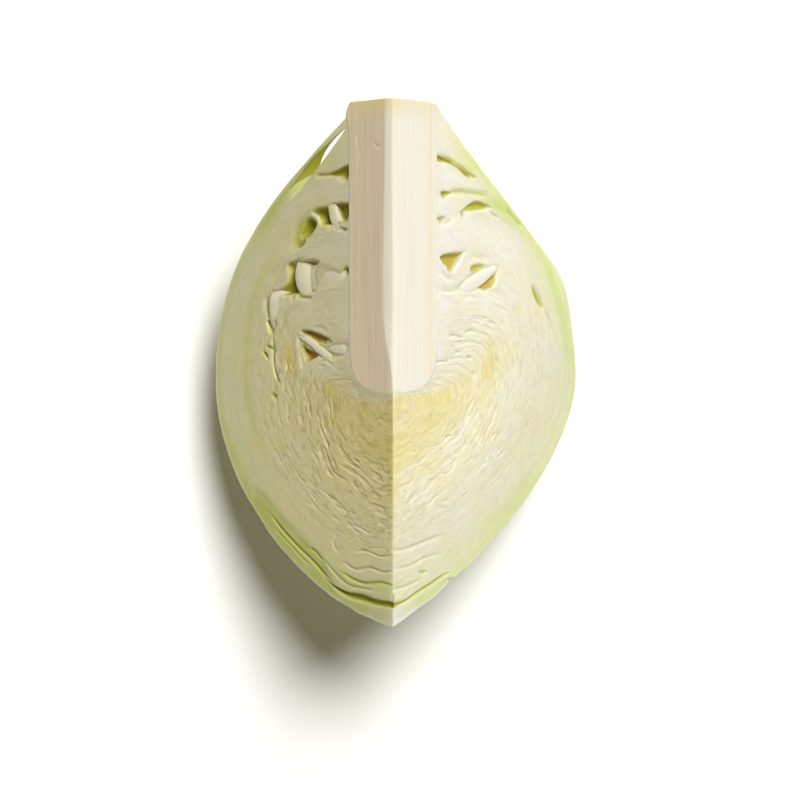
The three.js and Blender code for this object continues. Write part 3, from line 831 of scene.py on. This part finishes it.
def edge_recess(level, points, r, h, t, length, across):
    """How far a leaf's cut edge lies below the knife's face."""
    noise = leaf_noises[level]
    heart = smooth(4, 12, level + t)
    own = mix(0.01, 0.05, heart) * (1 + noise(points, 10))
    broken = smooth(0.0, 0.6, pocket_noise(points, 3.6))
    skins = mix(0.02, 0.12, heart) * broken * np.abs(2 * t - 1) ** 7
    drift = across + 2.0 * pocket_noise(points, 5.5)

    def grain(lengthways, sideways, shift):
        """Noise that is drawn out along the leaf."""
        scaled = np.stack([length / lengthways, drift / sideways, 0 * across + shift * level], -1)
        return stroke_noise.sample(scaled)

    creases = smooth(0.6, 1.0, 1 - np.abs(grain(11.0, 3.6, 2.3))) * smooth(0.0, 0.6, noise(points, 14))
    dashes = smooth(0.1, 0.75, grain(4.0, 1.4, 3.7)) * smooth(-0.5, 0.3, noise(points, 7))
    away_from_tip = smooth(12, 30, np.hypot(0.7 * r, h - CORE_LENGTH))
    crumbs = 0.12 * (1 + pocket_noise(points, 2.1)) + 0.06 * (1 + pocket_noise(points, 1.1))
    strokes = away_from_tip * (0.42 * dashes + 0.4 * creases) + 0.05 * (1 + grain(1.9, 0.8, 5.1))
    strokes = strokes * (1 - 0.9 * np.abs(2 * t - 1) ** 5)
    return own + skins * away_from_tip + heart * (strokes + crumbs * mix(1, 0.35, away_from_tip))


def leaf_block(level):
    """The leaf's places before it is cut: rows along it, steps through it, columns across it."""
    spacing, *counts = leaf_grid(level)
    along = leaf_rows(level, spacing)
    phi = leaf_columns(level, along, *counts)
    outer_r, outer_h, inner_r, inner_h = leaf_boundaries(level, phi, along[:, None])
    thickness = np.hypot(outer_r - inner_r, outer_h - inner_h)
    t = across_steps(thickness.max())[None, :, None]
    r = mix(outer_r[:, None], inner_r[:, None], t)
    h = mix(outer_h[:, None], inner_h[:, None], t)
    r[-1] = 0
    h[-1] = h[-1, :, :1]
    phi = np.broadcast_to(phi[:, None], r.shape)
    length = leaf_lengths(outer_r, outer_h)[:, None] * np.ones_like(r)
    return along, t, r, h, phi, length, t * thickness[:, None]


def colour_edge(attributes, depth, shade_amber, tints, reach):
    """Adds the painted shade of what is carved, and the tints, in a cut edge to the masks, down to the
    reach behind it.
    """
    shaded = smooth(0.0, 1.8, depth)[..., None] * reach
    attributes["hollow"] = np.maximum(attributes["hollow"], shaded)
    attributes["shade_amber"] = np.maximum(attributes["shade_amber"], shade_amber[..., None] * (reach > 0))
    for mask, tint in tints.items():
        attributes[mask] = attributes[mask] + tint[..., None] * reach


def build_leaf(level):
    along, t, r, h, phi, length, across = leaf_block(level)
    points = place(r, h, phi)
    attributes = leaf_tones(level, r, h, phi, along[:, None, None], t)
    attributes["grain_along"] = length
    attributes["grain_across"] = across + 7.0 * level
    recesses = []
    for (face, column), behind in zip(EDGES, cut_depths(r, phi)):
        edge_points, edge_r, edge_h, *edge_grain = (
            block[:, :, column] for block in (points, r, h, length, across))
        own = edge_recess(level, edge_points, edge_r, edge_h, t[..., 0], *edge_grain)
        depth, shade_amber = carving(face, edge_r, edge_h)
        rooted = smooth(0, 0.3, along)[:, None] * smooth(0, 3, edge_r)
        overlapped = 0.04 * smooth(0.03, 0, along)[:, None]
        recess = knife_recess(edge_points, edge_r) + own * rooted + depth + overlapped
        recess[-1] = recess[-1, :1]
        recesses.append(recess)
        reach = np.clip(1 - behind / 6, 0, 1)
        colour_edge(attributes, depth, shade_amber, tinting(face, edge_r, edge_h), reach)
    points = sink(points, r, phi, recesses)
    points[..., 2] = np.maximum(points[..., 2], 0)
    points[-1] = points[-1, :, :1]
    ids = np.arange(r.size).reshape(r.shape)
    ids[-1] = ids[-1, :, :1]
    return block_object(LEAVES[level][0] + "_skin", points, attributes, ids)


def leaf_tones(level, r, h, phi, along, t):
    """Masks that the materials colour by, from 0 to 1, apart from depth, which is in millimetres."""
    points = place(r, h, phi)
    wander = tone_noise(points, 22)
    own = leaf_noises[level](points, 24)
    outerness = 1 - 0.75 * smooth(0.8, 2.2, level + t + 0.5 * wander)
    outerness = outerness * (1 - smooth(2, 6.5, level + t + wander))
    green = outerness * mix(0.1, 1, smooth(0.35, 1.0, along)) * mix(1, 0.75, side_of(phi))
    core_tip = np.hypot(r * 0.85, np.maximum(h - CORE_LENGTH, 0) * 1.15)
    yellow = np.exp(-((core_tip / 34) ** 2)) + 0.2 * smooth(12, 17, level)
    rib = (1 - smooth(0.35, 0.95, along)) * smooth(3, 5, level)
    root = (1 - smooth(0.02, 0.16, along)) * smooth(18, 12, level)
    left, right = cut_depths(r, phi)
    zero = np.zeros_like(r)
    vein = veins(level, phi, r, h, leaf_lengths(r, h)) * (t < 0.02) if level < 2 else zero
    # Painted shade: darker over the right face far from the core towards the crown, and over the
    # outermost leaves of the left face near the crown.
    far = np.hypot(r, 1.2 * (h - 80))
    shade_falloff = smooth(-5, 5, phi) * smooth(44, 74, far) * smooth(40, 90, h)
    rim_shade_falloff = smooth(5, -5, phi) * smooth(3.2, 2.0, level + t) * smooth(112, 136, h)
    return {
        "green": np.clip(green, 0, 1),
        "yellow": np.clip(yellow + 0.2 * wander, 0, 1),
        "rib": rib + zero,
        "pale": smooth(0.5, 0.1, level + t) + 0.5 * own * smooth(3, 8, level) + root,
        "crinkle": smooth(3, 11, level) * smooth(0.35, 1.0, along) + zero,
        "depth": np.minimum(left, right),
        "inner_side": smooth(0.4, 0.9, t) + zero,
        # Marks the left cut face, turned away from the key light, for the painted shade that the
        # materials put on it.
        "shaded_face": smooth(5, -5, phi) * np.clip(1.5 - left / 6, 0, 1),
        "shade_falloff": shade_falloff + 0.9 * rim_shade_falloff,
        "skin_vein": vein,
        "hollow": zero,
        "shade_amber": zero,
    }


# --- Core ---

FACET_WIDTH = 3.1                   # the strip that the knife took off the ridge, on its left
FACET_SLOPE = 0.5
CORE_DEPTHS = np.array([0, 0.3, 0.8, 1.6, 2.8, 4.4])


def core_profile(h):
    """Radius of the core at each height, with a worn rim at the stem end."""
    past = np.maximum(h - TIP_START, 0)
    order = np.argsort(OUTLINE_H)
    radius = np.interp(TIP_START + past, OUTLINE_H[order], OUTLINE_R[order])
    return radius - 1.1 * np.exp(-h / 0.7)


def core_heights():
    rim = np.array([0, 0.25, 0.6, 1.1, 1.8])
    side = np.linspace(2.6, TIP_START, 130)
    angle = np.linspace(0, math.pi / 2, 46)[1:]
    tip = TIP_START + CORE_TIP_ROUND * np.sin(angle) ** (2 / CORE_TIP_POWER)
    return np.concatenate([rim, side, tip])


def facet_width(h):
    return FACET_WIDTH * mix(0.8, 1, smooth(8, 62, h)) * smooth(CORE_LENGTH, CORE_LENGTH - 26, h)


def shave_ridge(points, h):
    """The shallow facet along the core's ridge, and the right face's slight fall towards it."""
    x = points[..., 0] - RIDGE_X
    width = facet_width(h)
    drop = RIDGE_Z - np.abs(x) - points[..., 2]
    near = np.clip(1 - drop / 4, 0, 1)
    facet = np.where(x > -width, (1 - FACET_SLOPE) * (x + width), 0) * (x < 0)
    right = (1 - FACET_SLOPE) * width * np.exp(-np.maximum(x, 0) / 5) * (x >= 0)
    lowered = points.copy()
    lowered[..., 2] -= (facet + right) * near
    return lowered


def core_block():
    """The core's places before it is cut: rows along it, steps out from its axis, columns round it."""
    h = core_heights()
    t = np.concatenate([np.linspace(0, 0.3, 14)[:-1], np.linspace(0.3, 0.97, 34), [0.985, 1]])
    radius = core_profile(h)
    span = np.full_like(h, 2 * CUT_ANGLE)
    left = edge_offsets(np.maximum(radius, 1), span, CORE_DEPTHS, np.linspace(0, 0.5, 13))
    phi = np.concatenate([left - CUT_ANGLE, CUT_ANGLE - left[:, -2::-1]], 1)
    r = radius[:, None, None] * t[None, :, None] * np.ones(phi.shape[1])
    r[-1] = 0
    h = h[:, None, None] * np.ones_like(r)
    phi = np.broadcast_to(phi[:, None], r.shape)
    heel = 1.5 * np.exp(-((h - 4.5) / 3.2) ** 2) * smooth(0.8, 1, t[None, :, None])
    return t, r + heel * smooth(-25, -42, phi), h, phi


def core_recess(face, t, points, r, h):
    """How far the core's cut face lies below the flat: the knife's waves, fibres and dents."""
    grain = np.stack([h / 30, r / 1.1, 0 * r + face], -1)
    fibres = 0.05 * (1 + stroke_noise.sample(grain)) * smooth(1, 0.9, t)
    return knife_recess(points, r) + fibres + carving(face, r, h)[0] * smooth(19.8, 18.5, r)


def build_core():
    t, r, h, phi = core_block()
    points = place(r, h, phi)
    points[..., 1] -= 0.5 * (1 + knife_noise(points, 9)) * np.exp(-h / 1.5)
    recesses = [core_recess(face, t, *(block[:, :, column] for block in (points, r, h)))
                for face, column in EDGES]
    beside_facet = smooth(0.9, 1.15, r / (1.42 * facet_width(h) + 0.3))
    attributes = {
        "grain_along": h,
        "grain_across": r,
        "lateral": r * np.radians(phi),
        "radius": r / CORE_RADIUS,
        "height": h,
        # Painted shade on the core's left face, weaker on the strip beside the facet.
        "shaded_face": (phi < 0) * mix(0.3, 1, beside_facet),
        "depth": np.minimum(*cut_depths(r, phi)),
    }
    points = shave_ridge(sink(points, r, phi, recesses), h)
    ids = np.arange(r.size).reshape(r.shape)
    ids[:, 0] = ids[:, 0, :1]
    ids[-1] = ids[-1, :1, :1]
    return block_object("core_skin", points, attributes, ids)


# --- Folds: the crumpled leaf parts in the hollows beside the core ---
# A fold is (face, roundness of its cut edge, fall across it towards the light, whiteness,
# path of (r, h, width, depth below the cut face)).

FOLDS = {
    "fold_left_1": (LEFT, 0.3, 0.15, 0.4, [
        (29.9, 29, 2.6, 1.2), (29.4, 32.2, 3.2, 0.1), (28.8, 35, 3.4, 0), (27.8, 38, 3.8, 0),
        (25.4, 40.6, 3.8, 0.15), (22, 43, 3.2, 1.2)]),
    "fold_left_2": (LEFT, 0.5, 0.15, 0.4, [
        (44, 35, 1.2, 1.2), (40.6, 36, 1.2, 0.2), (37.4, 36.6, 1.3, 0.05), (35.4, 38.4, 1.4, 0),
        (35.8, 40.6, 1.3, 0.05), (38.6, 43.4, 1.3, 0.2), (42.4, 45.6, 1.2, 1.2)]),
    "fold_left_3": (LEFT, 0.35, 0.28, 0.8, [
        (43.8, 49.4, 3.6, 1.6), (43.6, 52.4, 6.4, 0), (42.6, 56.4, 8.8, -0.7), (41, 60.4, 7.8, -0.3),
        (39, 63.6, 5, 1.4)]),
    "fold_left_4": (LEFT, 0.15, 0.05, 0.3, [
        (41.6, 56.8, 7.6, 1.4), (37, 57, 9.2, 0.6), (31, 57, 7.6, 0.2), (25, 57.4, 5.6, 0.3),
        (21.4, 57.6, 3.6, 1.4)]),
    "fold_left_5": (LEFT, 0.3, 0.3, 1, [
        (53.6, 60.8, 6.4, 0.3), (54.4, 64, 8.8, -1.2), (55.6, 67.6, 6.8, -1.1), (56.8, 71, 3.8, -0.4),
        (57.6, 74.4, 2.4, 1.4)]),
    "fold_left_6": (LEFT, 0.35, 0.2, 0.9, [
        (47.2, 74.6, 1.6, 1.2), (43.6, 76.2, 2, 0.15), (39.6, 78, 2.4, 0.05), (35.6, 80.4, 2.6, 0),
        (31.6, 82.6, 2.4, 0.05), (27, 84.8, 2, 1.2)]),
    "fold_right_1": (RIGHT, 0.3, 0, 0.8, [
        (38, 43.8, 2.2, 1.2), (35.8, 47.2, 2.5, 0.05), (34.2, 49.8, 2.8, 0), (32.2, 52.6, 3.2, 0),
        (29.8, 55.6, 3, 0.1), (26.6, 58.8, 2.4, 1.2)]),
    "fold_right_2": (RIGHT, 0.25, 0, 0.9, [
        (51.6, 51.4, 1.6, 1.2), (48.4, 53.4, 2.4, 0.1), (44.8, 55.3, 3.6, 0), (40.6, 57.4, 4.6, 0),
        (35.6, 59.8, 4.6, 0), (28.6, 62.8, 3.6, 1.2)]),
    "crumple_1": (LEFT, 0.3, 0.12, 0.7, [
        (33, 78.6, 3, 1.4), (29.4, 79.8, 3.6, 0.3), (26, 80.4, 4, 0.1), (23, 80.6, 3.8, 0.1),
        (19.6, 80.4, 3, 1.2)]),
}
FOLD_DEPTHS = np.array([0, 0.5, 1.2, 2.2, 3.6, 5.5, 8])


def fold_edge(roundness, fall, path):
    """r, h and recess of the places on a fold's cut edge, and their distance from its middle."""
    line = spline(path, 60)
    width, lift = np.maximum(line[:, 2:3], 0.3), line[:, 3:]
    tangent = np.gradient(line[:, :2], axis=0)
    tangent /= np.linalg.norm(tangent, axis=1)[:, None]
    turn = np.linspace(0, math.pi, 17)
    offset = -0.5 * np.cos(turn) * width
    r = line[:, :1] - offset * tangent[:, 1:]
    h = line[:, 1:2] + offset * tangent[:, :1]
    rounding = 0.5 * roundness * width * (1 - np.sin(turn))
    return r, h, lift + rounding + fall * (offset + 0.5 * width), offset


def build_fold(name, index):
    face, roundness, fall, whiteness, path = FOLDS[name]
    r, h, recess, offset = (block[..., None] for block in fold_edge(roundness, fall, path))
    depth = FOLD_DEPTHS + 0 * r
    lean = 0.15 * depth * leaf_noises[index](place(r + 0 * depth, h + 0 * depth, CUT_ANGLE * face), 9)
    r, h = r + lean, h - lean
    points = place(r, h, CUT_ANGLE * face)
    recess = recess + knife_recess(points, r)
    sunk = depth + recess * np.clip(1 - depth / (RECESS_REACH * (1 + np.abs(recess))), 0, 1)
    points = points + sunk[..., None] * INWARD[face]
    attributes = {mask: np.zeros_like(r) for mask in ("green", "crinkle", "skin_vein", "shade_falloff")}
    attributes |= {
        "grain_along": np.linspace(0, 14, len(r))[:, None, None],
        "grain_across": offset + 5.0 * index,
        "yellow": 0.08,
        "rib": 0.6,
        "pale": whiteness,
        "depth": depth * 0.6,
        "inner_side": 0.5,
        # Folds on the left face take its painted shade.
        "shaded_face": 0.8 * (face == LEFT),
        # Painted shade that grows with how far the fold lies below the cut face.
        "hollow": smooth(1.0, 4.5, sunk),
        "shade_amber": 0.7 if 70 < path[0][1] < 90 else 0.3,
    }
    return block_object(name + "_skin", points, attributes, np.arange(r.size).reshape(r.shape))


# --- Materials ---

class Finish:
    """Builds one procedural material node by node."""

    def __init__(self, name):
        self.material = bpy.data.materials.new(name)
        self.material.use_nodes = True
        self.tree = self.material.node_tree
        self.tree.nodes.clear()
        output = self.tree.nodes.new("ShaderNodeOutputMaterial")
        self.shader = self.tree.nodes.new("ShaderNodeBsdfPrincipled")
        self.set(output, {"Surface": self.shader.outputs[0]})

    def set(self, node, inputs):
        """Links or sets the node's inputs."""
        for key, value in inputs.items():
            if isinstance(value, bpy.types.NodeSocket):
                self.tree.links.new(value, node.inputs[key])
            else:
                node.inputs[key].default_value = value

    def node(self, kind, inputs, output=0, **settings):
        """One output of a new node."""
        node = self.tree.nodes.new("ShaderNode" + kind)
        for key, value in settings.items():
            setattr(node, key, value)
        self.set(node, inputs)
        return node.outputs[output]

    def attribute(self, name):
        return self.node("Attribute", {}, "Fac", attribute_name=name)

    def position(self):
        return self.node("TexCoord", {}, "Object")

    def math(self, operation, a, b, clamp=True):
        return self.node("Math", {0: a, 1: b}, operation=operation, use_clamp=clamp)

    def times(self, a, b):
        return self.math("MULTIPLY", a, b)

    def scaled(self, value, factor):
        return self.math("MULTIPLY", value, factor, clamp=False)

    def vector(self, x, y, z):
        return self.node("CombineXYZ", {0: x, 1: y, 2: z})

    def ramp(self, value, low, high, to_low=0.0, to_high=1.0):
        inputs = {"Value": value, "From Min": low, "From Max": high, "To Min": to_low, "To Max": to_high}
        return self.node("MapRange", inputs, "Result", interpolation_type="SMOOTHSTEP")

    def noise(self, where, scale, detail=3.0):
        return self.node("TexNoise", {"Vector": where, "Scale": scale, "Detail": detail}, "Fac")

    def mix(self, part, a, b, blend="MIX"):
        return self.node("Mix", {"Factor": part, 6: a, 7: b}, 2, data_type="RGBA", blend_type=blend)

    def shade(self, colour, amount):
        return self.mix(1.0, colour, self.vector(amount, amount, amount), "MULTIPLY")

    def bump(self, height, distance, strength=1.0, **below):
        inputs = {"Height": height, "Distance": distance, "Strength": strength}
        return self.node("Bump", inputs | below)

    def finish(self, colour, roughness, normal, subsurface=0.0):
        self.set(self.shader, {"Base Color": colour, "Roughness": roughness, "Normal": normal,
                               "IOR": 1.4})
        if subsurface:
            self.set(self.shader, {"Subsurface Weight": subsurface,
                                   "Subsurface Radius": (1.0, 0.75, 0.35),
                                   "Subsurface Scale": 0.003})
        return self.material


def rgb(r, g, b):
    return (r, g, b, 1)


WHITE_FLESH = rgb(0.79, 0.78, 0.72)
RIB_FLESH = rgb(0.77, 0.75, 0.66)
GREEN_FLESH = rgb(0.60, 0.68, 0.23)
YELLOW_FLESH = rgb(0.76, 0.66, 0.30)
STROKE_FLESH = rgb(0.56, 0.52, 0.24)
SPECK_FLESH = rgb(0.66, 0.62, 0.26)
OUTER_SKIN = rgb(0.60, 0.68, 0.36)
# The inner skin's own yellow-green, made brighter as painted light shining through the thin leaf.
INNER_SKIN_WITH_GLOW = rgb(0.82, 0.84, 0.12)
VEIN_SKIN = rgb(0.82, 0.84, 0.66)
# Painted shade in the hollows and grooves: olive where shallow, darker olive to orange-brown further
# below the face, standing in for their shade and the light bounced inside them.
SHALLOW_HOLLOW_SHADE = rgb(0.59, 0.57, 0.20)
DEEP_HOLLOW_SHADE = rgb(0.44, 0.44, 0.04)
DEEP_HOLLOW_AMBER_SHADE = rgb(0.52, 0.38, 0.08)
SHADED_FACE_TINT = rgb(0.82, 0.79, 0.60)      # painted shade: what the left cut face, turned away from the key light, is multiplied by


def leaf_material(name, flesh):
    f = Finish(name)
    where = f.position()
    along, across = f.attribute("grain_along"), f.attribute("grain_across")
    drift = f.scaled(f.noise(where, 160), 4.0)
    strokes = f.noise(f.vector(f.scaled(along, 0.28), across, drift), 0.8, 4)
    blotch = f.noise(where, 90)
    uneven = f.ramp(blotch, 0.3, 0.7, 0.6, 1.0)
    colour = f.mix(f.ramp(blotch, 0.35, 0.65, 0.0, 0.5), flesh, WHITE_FLESH)
    for mask, share, tone in (("yellow", uneven, YELLOW_FLESH), ("green", uneven, GREEN_FLESH),
                              ("rib", 0.6, RIB_FLESH), ("pale", 0.7, WHITE_FLESH)):
        colour = f.mix(f.times(f.attribute(mask), share), colour, tone)
    # The specks and dashes are stronger on the left face, along with its painted shade.
    crinkle = f.times(f.attribute("crinkle"), f.ramp(f.attribute("shaded_face"), 0.0, 1.0, 0.4, 1.0))
    specks = f.ramp(f.noise(where, 330, 2), 0.5, 0.72, 0.0, 0.5)
    colour = f.mix(f.times(specks, crinkle), colour, SPECK_FLESH)
    dashes = f.ramp(strokes, 0.46, 0.34, 0.0, 0.8)
    colour = f.mix(f.times(dashes, crinkle), colour, STROKE_FLESH)
    # Painted shade: darkens the right face towards the crown and the left rim near the crown by up to 13
    # percent.
    colour = f.shade(colour, f.ramp(f.attribute("shade_falloff"), 0.0, 1.3, 1.0, 0.87))
    colour = f.shade(colour, f.ramp(strokes, 0.35, 0.65, 0.97, 1.03))
    skin = f.mix(f.attribute("inner_side"), OUTER_SKIN, INNER_SKIN_WITH_GLOW)
    skin = f.mix(f.attribute("skin_vein"), skin, VEIN_SKIN)
    colour = f.mix(f.ramp(f.attribute("depth"), 0.4, 3.0), colour, skin)
    # Painted shade in the hollows, growing with their depth.
    far_hollow_shade = f.mix(f.attribute("shade_amber"), DEEP_HOLLOW_SHADE, DEEP_HOLLOW_AMBER_SHADE)
    colour = f.mix(f.ramp(f.attribute("hollow"), 0.0, 0.5), colour, SHALLOW_HOLLOW_SHADE)
    colour = f.mix(f.ramp(f.attribute("hollow"), 0.4, 0.95), colour, far_hollow_shade)
    # Painted shade: the left cut face is multiplied by a darker, yellower tint.
    colour = f.mix(f.attribute("shaded_face"), colour, f.mix(1.0, colour, SHADED_FACE_TINT, "MULTIPLY"))
    normal = f.bump(f.noise(f.vector(f.scaled(along, 0.3), across, 0.0), 1.7, 4), 0.0002, 0.5)
    normal = f.bump(f.noise(where, 1400, 2), 0.00008, 0.4, Normal=normal)
    return f.finish(colour, f.ramp(blotch, 0.3, 0.7, 0.40, 0.52), normal, 0.15)


PALE_PITH = rgb(0.79, 0.77, 0.69)
WARM_PITH = rgb(0.78, 0.74, 0.63)
# Pith colours of the core's left face, darker and tanner as painted shade.
SHADED_PITH = rgb(0.67, 0.56, 0.40)
SHADED_PITH_LIGHT = rgb(0.74, 0.62, 0.45)
RIND = rgb(0.82, 0.77, 0.64)
STEM_TAN = rgb(0.76, 0.62, 0.30)
VESSELS = rgb(0.76, 0.56, 0.30)


def core_material():
    f = Finish("core_flesh")
    where = f.position()
    along, radius = f.attribute("grain_along"), f.attribute("radius")
    lines = f.noise(f.vector(f.scaled(along, 0.03), f.attribute("grain_across"),
                             f.attribute("lateral")), 0.9, 4)
    blotch = f.noise(where, 70)
    pale = f.mix(f.ramp(lines, 0.35, 0.65), PALE_PITH, WARM_PITH)
    # Painted shade on the core's left face: a darker, tanner pith, stronger vessels and a fainter rind.
    shaded_face = f.mix(f.ramp(lines, 0.3, 0.7), SHADED_PITH, SHADED_PITH_LIGHT)
    colour = f.mix(f.attribute("shaded_face"), pale, shaded_face)
    peach = f.times(f.ramp(radius, 0.70, 0.82), f.ramp(radius, 0.95, 0.88))
    colour = f.mix(f.times(peach, 0.35), colour, rgb(0.86, 0.72, 0.50))
    wavering = f.math("SUBTRACT", radius, f.scaled(f.noise(where, 60), 0.08))
    vessels = f.times(f.ramp(wavering, 0.79, 0.82), f.ramp(wavering, 0.86, 0.83))
    vessels = f.times(vessels, f.ramp(f.attribute("shaded_face"), 0.0, 1.0, 0.2, 0.45))
    colour = f.mix(vessels, colour, VESSELS)
    rind = f.times(f.ramp(radius, 0.91, 0.96), f.ramp(f.attribute("shaded_face"), 0.0, 1.0, 0.8, 0.1))
    colour = f.mix(rind, colour, RIND)
    tan = f.times(f.ramp(f.attribute("height"), 9.0, 1.0), f.ramp(blotch, 0.3, 0.7, 0.2, 0.7))
    colour = f.mix(tan, colour, STEM_TAN)
    normal = f.bump(lines, 0.0004, 0.5)
    normal = f.bump(f.noise(where, 1200, 2), 0.00008, 0.5, Normal=normal)
    return f.finish(colour, f.ramp(blotch, 0.3, 0.7, 0.42, 0.55), normal, 0.2)


# --- Stage: floor, light and camera ---

FLOOR_HALF_WIDTH = 4.0
FLOOR_DROP = 0.0001
CAMERA_HEIGHT = 1.0
CAMERA_AT = (0.0014, -0.01225)      # the view is framed a little off the wedge's centre
FOCAL_LENGTH = 128.25
KEY_DIRECTION = Vector((0.262, 0.41, 0.874))
KEY_STRENGTH = 3.63
KEY_SOFTNESS = 25                   # degrees that the softbox spans
WORLD_COLOUR = rgb(1.0, 0.88, 0.55)
WORLD_STRENGTH = 0.13


def build_floor():
    mesh = bpy.data.meshes.new("floor")
    half = FLOOR_HALF_WIDTH
    mesh.from_pydata([(-half, -half, 0), (half, -half, 0), (half, half, 0), (-half, half, 0)],
                     [], [(0, 1, 2, 3)])
    floor = add_object("floor", mesh)
    floor.location.z = -FLOOR_DROP
    f = Finish("floor_paper")
    tone = f.ramp(f.noise(f.position(), 30, 2), 0.3, 0.7)
    colour = f.mix(tone, rgb(0.95, 0.945, 0.93), rgb(0.97, 0.965, 0.95))
    mesh.materials.append(f.finish(colour, 0.9, f.bump(f.noise(f.position(), 900, 2), 0.00002)))


def build_lights():
    light = bpy.data.lights.new("softbox", "SUN")
    light.energy = KEY_STRENGTH
    light.angle = math.radians(KEY_SOFTNESS)
    add_object("softbox", light).rotation_euler = KEY_DIRECTION.to_track_quat("Z", "Y").to_euler()
    world = bpy.data.worlds.new("studio")
    world.use_nodes = True
    background = world.node_tree.nodes["Background"]
    background.inputs["Color"].default_value = WORLD_COLOUR
    background.inputs["Strength"].default_value = WORLD_STRENGTH
    bpy.context.scene.world = world


def build_camera():
    camera = bpy.data.cameras.new("camera")
    camera.lens = FOCAL_LENGTH
    camera.sensor_width = 36
    camera.clip_start = 0.05
    obj = add_object("camera", camera)
    obj.location = (*CAMERA_AT, CAMERA_HEIGHT)
    bpy.context.scene.camera = obj
    bpy.context.scene.view_settings.view_transform = "Standard"


def dress(piece, material, node=None):
    """Rides the root body. A piece without a node is a detail that the CAD model leaves out."""
    piece.data.materials.append(material)
    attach(piece, "root")
    if node:
        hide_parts(node)


build_camera()
build_lights()
build_floor()

OUTER = leaf_material("outer_leaf_skin", rgb(0.76, 0.76, 0.50))
INNER = leaf_material("inner_leaf_flesh", rgb(0.79, 0.74, 0.52))
HEART = leaf_material("heart_leaf_flesh", rgb(0.81, 0.74, 0.49))

dress(build_core(), core_material(), "core")
for level, leaf in enumerate(LEAVES):
    if level < GREEN_LEAVES:
        slot, material = "outer_leaf", OUTER
    elif level < FIRST_HEART_LEVEL:
        slot, material = "inner_leaf", INNER
    else:
        slot, material = "heart_leaf", HEART
    dress(build_leaf(level), material, leaf[0])
for index, name in enumerate(FOLDS):
    dress(build_fold(name, index), INNER, name if name.startswith("fold") else None)
